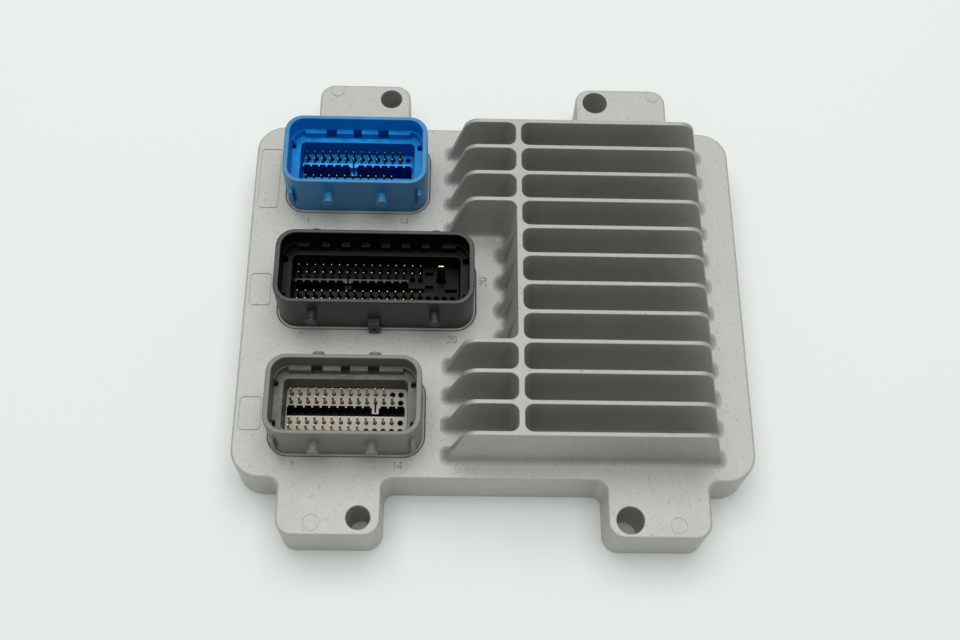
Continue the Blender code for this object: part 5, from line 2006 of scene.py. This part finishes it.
@dataclass(frozen=True)
class Numerals:
    """Small raised numbers on the face, beside the first and last pins of the headers."""

    height: float = 2.0
    width: float = 1.15
    stroke: float = 0.3
    proud: float = 0.12
    pitch: float = 1.6
    strokes: tuple[tuple[str, Outline], ...] = (
        ("0", [(0.0, 0.3), (0.25, 0.0), (0.75, 0.0), (1.0, 0.3), (1.0, 0.7), (0.75, 1.0), (0.25, 1.0),
               (0.0, 0.7), (0.0, 0.3)]),
        ("1", [(0.2, 0.75), (0.6, 1.0), (0.6, 0.0)]),
        ("2", [(0.0, 0.75), (0.3, 1.0), (0.7, 1.0), (1.0, 0.7), (0.0, 0.0), (1.0, 0.0)]),
        ("4", [(0.75, 0.0), (0.75, 1.0), (0.0, 0.3), (1.0, 0.3)]),
    )
    places: tuple[tuple[str, Place], ...] = (  # middle in plan, and a turn in degrees
        ("1", (-60.55, 24.84, 0.0)),
        ("14", (-29.34, 25.43, 0.0)),
        ("20", (-3.5, 4.02, 90.0)),
        ("1", (-60.6, -15.37, 0.0)),
        ("20", (-13.18, -16.36, 0.0)),
        ("1", (-60.29, -57.62, 0.0)),
        ("14", (-29.1, -57.57, 0.0)),
    )

    def bar(self, first: Point, second: Point) -> list[Ring]:
        """One stroke with round ends, sunk into the face by its own height.

        Args:
            first: Its start.
            second: Its end.

        Returns:
            Its rings from the foot up.
        """
        half = self.stroke / 2
        along = math.atan2(second[1] - first[1], second[0] - first[0])
        outline = arc(second, half, along - QUARTER, along + QUARTER, 4)
        outline += arc(first, half, along + QUARTER, along + 3 * QUARTER, 4)
        return prism(outline, LEVELS.face - self.proud, LEVELS.face + self.proud)

    def number(self, digits: str) -> list[list[Ring]]:
        """One number, centred in plan.

        Args:
            digits: Its digits.

        Returns:
            The rings of each stroke.
        """
        shapes = dict(self.strokes)
        made = []
        for place, digit in enumerate(digits):
            left = (place - (len(digits) - 1) / 2) * self.pitch - self.width / 2
            points = [(left + x * self.width, (y - 0.5) * self.height) for x, y in shapes[digit]]
            made += [self.bar(first, second) for first, second in zip(points, points[1:])]
        return made

    def built(self) -> None:
        """Builds and dresses every number."""
        form = Form("numerals")
        for digits, (x, y, degrees) in self.places:
            turn = Matrix.Rotation(math.radians(degrees), 3, "Z")
            for rings in self.number(digits):
                turned = [[tuple(turn @ Vector(point)) for point in ring] for ring in rings]
                form.skin(moved(turned, x, y))
        # The numerals take painted shade, as if they were sunk into the face.
        placed(dressed(form.made(), "cast_shade"), "cast_aluminium")


# Back plate and board

@dataclass(frozen=True)
class BackPlate:
    """The recessed plate that closes the back, with its pressed panel, its gasket and its screws."""

    recess: float = 0.3
    thickness: float = 1.5
    inset: float = 1.9
    edge: float = 0.2
    panel_margin: float = 15.0
    panel_rise: float = 0.8
    panel_ramp: float = 1.6
    panel_radius: float = 5.0
    panel_wall: float = 0.6  # how much larger the panel is outside than inside
    panel_joint: float = 0.01
    screw_head: float = 2.5
    screw_radius: float = 1.25
    screw_play: float = 0.3
    screw_profile: tuple[Point, ...] = ((2.38, 0.0), (2.5, 0.1), (1.25, 1.3), (1.25, 8.6), (0.9, 9.0))
    hole_cone: float = 1.25
    drive_radius: float = 1.1
    drive_depth: float = 0.9
    screw_places: tuple[Point, ...] = ((-72.235, 54.66), (-17.94, 54.66), (72.235, 54.66), (-72.235, -54.66),
                                       (-17.94, -54.66), (72.235, -54.66))

    def panel(self, foot: float, margin: float, under: float) -> list[Ring]:
        """The pressed panel.

        Args:
            foot: Height at which its ramp begins.
            margin: How much longer and wider it is than its inside.
            under: How far it runs on below that height.

        Returns:
            Its rings from the bottom up.
        """
        cover = Casting()
        length = cover.length - 2 * self.panel_margin + margin
        width = cover.width - 2 * self.panel_margin + margin
        made = [level(rounded_rectangle(length, width, self.panel_radius), foot - under)]
        steps = 6
        for step in range(steps + 1):
            slope = (1 - math.cos(2 * QUARTER * step / steps)) / 2
            draw = self.panel_ramp * step / steps
            outline = rounded_rectangle(length - 2 * draw, width - 2 * draw, self.panel_radius - draw)
            made.append(level(outline, foot + slope * self.panel_rise))
        return made

    def plate(self) -> None:
        """Builds and dresses the plate."""
        cover = Casting()
        bottom = self.recess
        top = self.recess + self.thickness
        rings = [level(cover.body_outline(self.inset + inset), z) for inset, z in
                 ((self.edge, bottom), (0.0, bottom + self.edge), (0.0, top - self.edge), (self.edge, top))]
        plate = Form("rear_plate").skin(rings).made()
        raised = self.panel(top - self.panel_joint, self.panel_wall, ROOT)
        combined(plate, Joining.ADD, [Form("raised").skin(raised).made()])
        head = self.screw_head + self.screw_play
        shank = self.screw_radius + self.screw_play
        stages = ((head, bottom - OVERRUN / 2), (head, bottom), (shank, bottom + self.hole_cone),
                  (shank, top + self.thickness))
        holes = [moved([level(circle(radius, 32), z) for radius, z in stages], *place)
                 for place in self.screw_places]
        combined(plate, Joining.CUT, [
            Form("pressed").skin(self.panel(bottom, 0.0, OVERRUN / 2)).made(),
            Form("screw_holes").skins(holes).made(),
        ])
        placed(shaded(dressed(plate, "sheet")), "sheet_aluminium", ["back_plate"])

    def screws(self) -> None:
        """Builds and dresses the countersunk screws, each with a six-sided socket in its head."""
        bottom = self.recess
        rings = [level(circle(radius, 32), bottom + z) for radius, z in self.screw_profile]
        drive = prism(circle(self.drive_radius, 6), bottom - OVERRUN / 2, bottom + self.drive_depth)
        for number, place in enumerate(self.screw_places, 1):
            screw = Form(f"plate_screw_{number}").skin(rings).made()
            combined(screw, Joining.CUT, [Form("drive").skin(drive).made()])
            shift(screw, place)
            placed(shaded(dressed(screw, "steel")), "steel", [f"back_plate_screw_{number}"])

    def built(self) -> None:
        """Builds the plate and its screws, and dresses the gasket."""
        self.plate()
        self.screws()
        dressed(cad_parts["housing_seal"], "gasket")


@dataclass(frozen=True)
class InnerBoard:
    """The circuit board and what stands on it. Their CAD shapes stay and get their finishes."""

    screw_places: tuple[Point, ...] = ((-44.725, 20.82), (62.535, 44.96), (-44.725, -20.82),
                                       (62.535, -44.96))
    finishes: tuple[tuple[str, str], ...] = (
        ("circuit_board", "board"),
        ("board_screw", "steel"),
        ("driver_chip", "chip"),
        ("thermal_pad", "pad"),
        ("processor", "chip"),
        ("memory_chip", "chip"),
        ("power_supply_chip", "chip"),
        ("power_coil", "chip"),
        ("clock_crystal", "can"),
        ("capacitor", "can"),
    )

    def built(self) -> None:
        """Dresses each node with the finish that its name starts with."""
        for name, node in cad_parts.items():
            for start, finish in self.finishes:
                if name.startswith(start):
                    dressed(node, finish)
                    LOG.info("%s: %s", name, finish)


# Floor, light and camera

@dataclass(frozen=True)
class Studio:
    """A plain pale floor, soft light from above and the camera. Its places are in metres."""

    floor_colour: Colour = (0.845, 0.875, 0.85)
    floor_reach: float = 3.0
    floor_drop: float = 0.00005
    world_colour: Colour = (0.97, 1.0, 0.99)
    world_level: float = 0.37
    lamp_place: Place = (-0.02, 0.22, 1.2)
    lamp_target: Place = (0.0, 0.0, 0.02)
    lamp_side: float = 1.2
    lamp_watts: float = 12.0
    lens: float = 45.327
    sensor: float = 36.0
    camera_place: Place = (-0.01453, -0.16716, 0.36465)
    camera_up: Place = (-0.014205, 0.910226, 0.413868)
    camera_forward: Place = (0.026492, 0.414107, -0.909843)

    def floor(self) -> None:
        """The floor that the unit rests on, just under its rim."""
        form = bmesh.new()
        reach = self.floor_reach
        corners = ((-reach, -reach), (reach, -reach), (reach, reach), (-reach, reach))
        form.faces.new([form.verts.new((x, y, -self.floor_drop)) for x, y in corners])
        data = bpy.data.meshes.new("floor")
        form.to_mesh(data)
        form.free()
        floor = bpy.data.objects.new("floor", data)
        bpy.context.scene.collection.objects.link(floor)
        material = bpy.data.materials.new("Pale floor")
        material.use_nodes = True
        shader = material.node_tree.nodes["Principled BSDF"]
        shader.inputs["Base Color"].default_value = (*self.floor_colour, 1.0)
        shader.inputs["Roughness"].default_value = 0.9
        shader.inputs["Specular IOR Level"].default_value = 0.1
        data.materials.append(material)

    def world(self) -> None:
        """An even pale surround."""
        world = bpy.data.worlds.new("Surround")
        bpy.context.scene.world = world
        world.use_nodes = True
        background = world.node_tree.nodes["Background"]
        background.inputs["Color"].default_value = (*self.world_colour, 1.0)
        background.inputs["Strength"].default_value = self.world_level

    def lamp(self) -> None:
        """One large square lamp over the unit."""
        data = bpy.data.lights.new("key", "AREA")
        data.shape = "SQUARE"
        data.size = self.lamp_side
        data.energy = self.lamp_watts
        made = bpy.data.objects.new("key", data)
        made.location = self.lamp_place
        aim = Vector(self.lamp_target) - Vector(self.lamp_place)
        made.rotation_euler = aim.to_track_quat("-Z", "Y").to_euler()
        bpy.context.scene.collection.objects.link(made)

    def camera(self) -> None:
        """The camera at the fitted viewing angle."""
        data = bpy.data.cameras.new("camera")
        data.sensor_width = self.sensor
        data.lens = self.lens
        data.clip_start = 0.01
        made = bpy.data.objects.new("camera", data)
        bpy.context.scene.collection.objects.link(made)
        forward = Vector(self.camera_forward).normalized()
        up = Vector(self.camera_up)
        up = (up - up.dot(forward) * forward).normalized()
        right = forward.cross(up)
        turn = Matrix((right, up, -forward)).transposed().to_4x4()
        made.matrix_world = Matrix.Translation(self.camera_place) @ turn
        bpy.context.scene.camera = made

    def built(self) -> None:
        """Builds the floor, the light and the camera."""
        self.floor()
        self.world()
        self.lamp()
        self.camera()
        bpy.context.scene.view_settings.view_transform = "Standard"


def main() -> None:
    """Builds every piece in order."""
    logging.basicConfig(level=logging.INFO, format="%(message)s")
    Studio().built()
    Casting().built()
    for plan in HEADERS:
        HeaderShell(plan).built()
        PinField(plan).built()
        SealantBead(plan).built()
    PowerBlade().built()
    Numerals().built()
    BackPlate().built()
    InnerBoard().built()


if __name__ == "__main__":
    main()
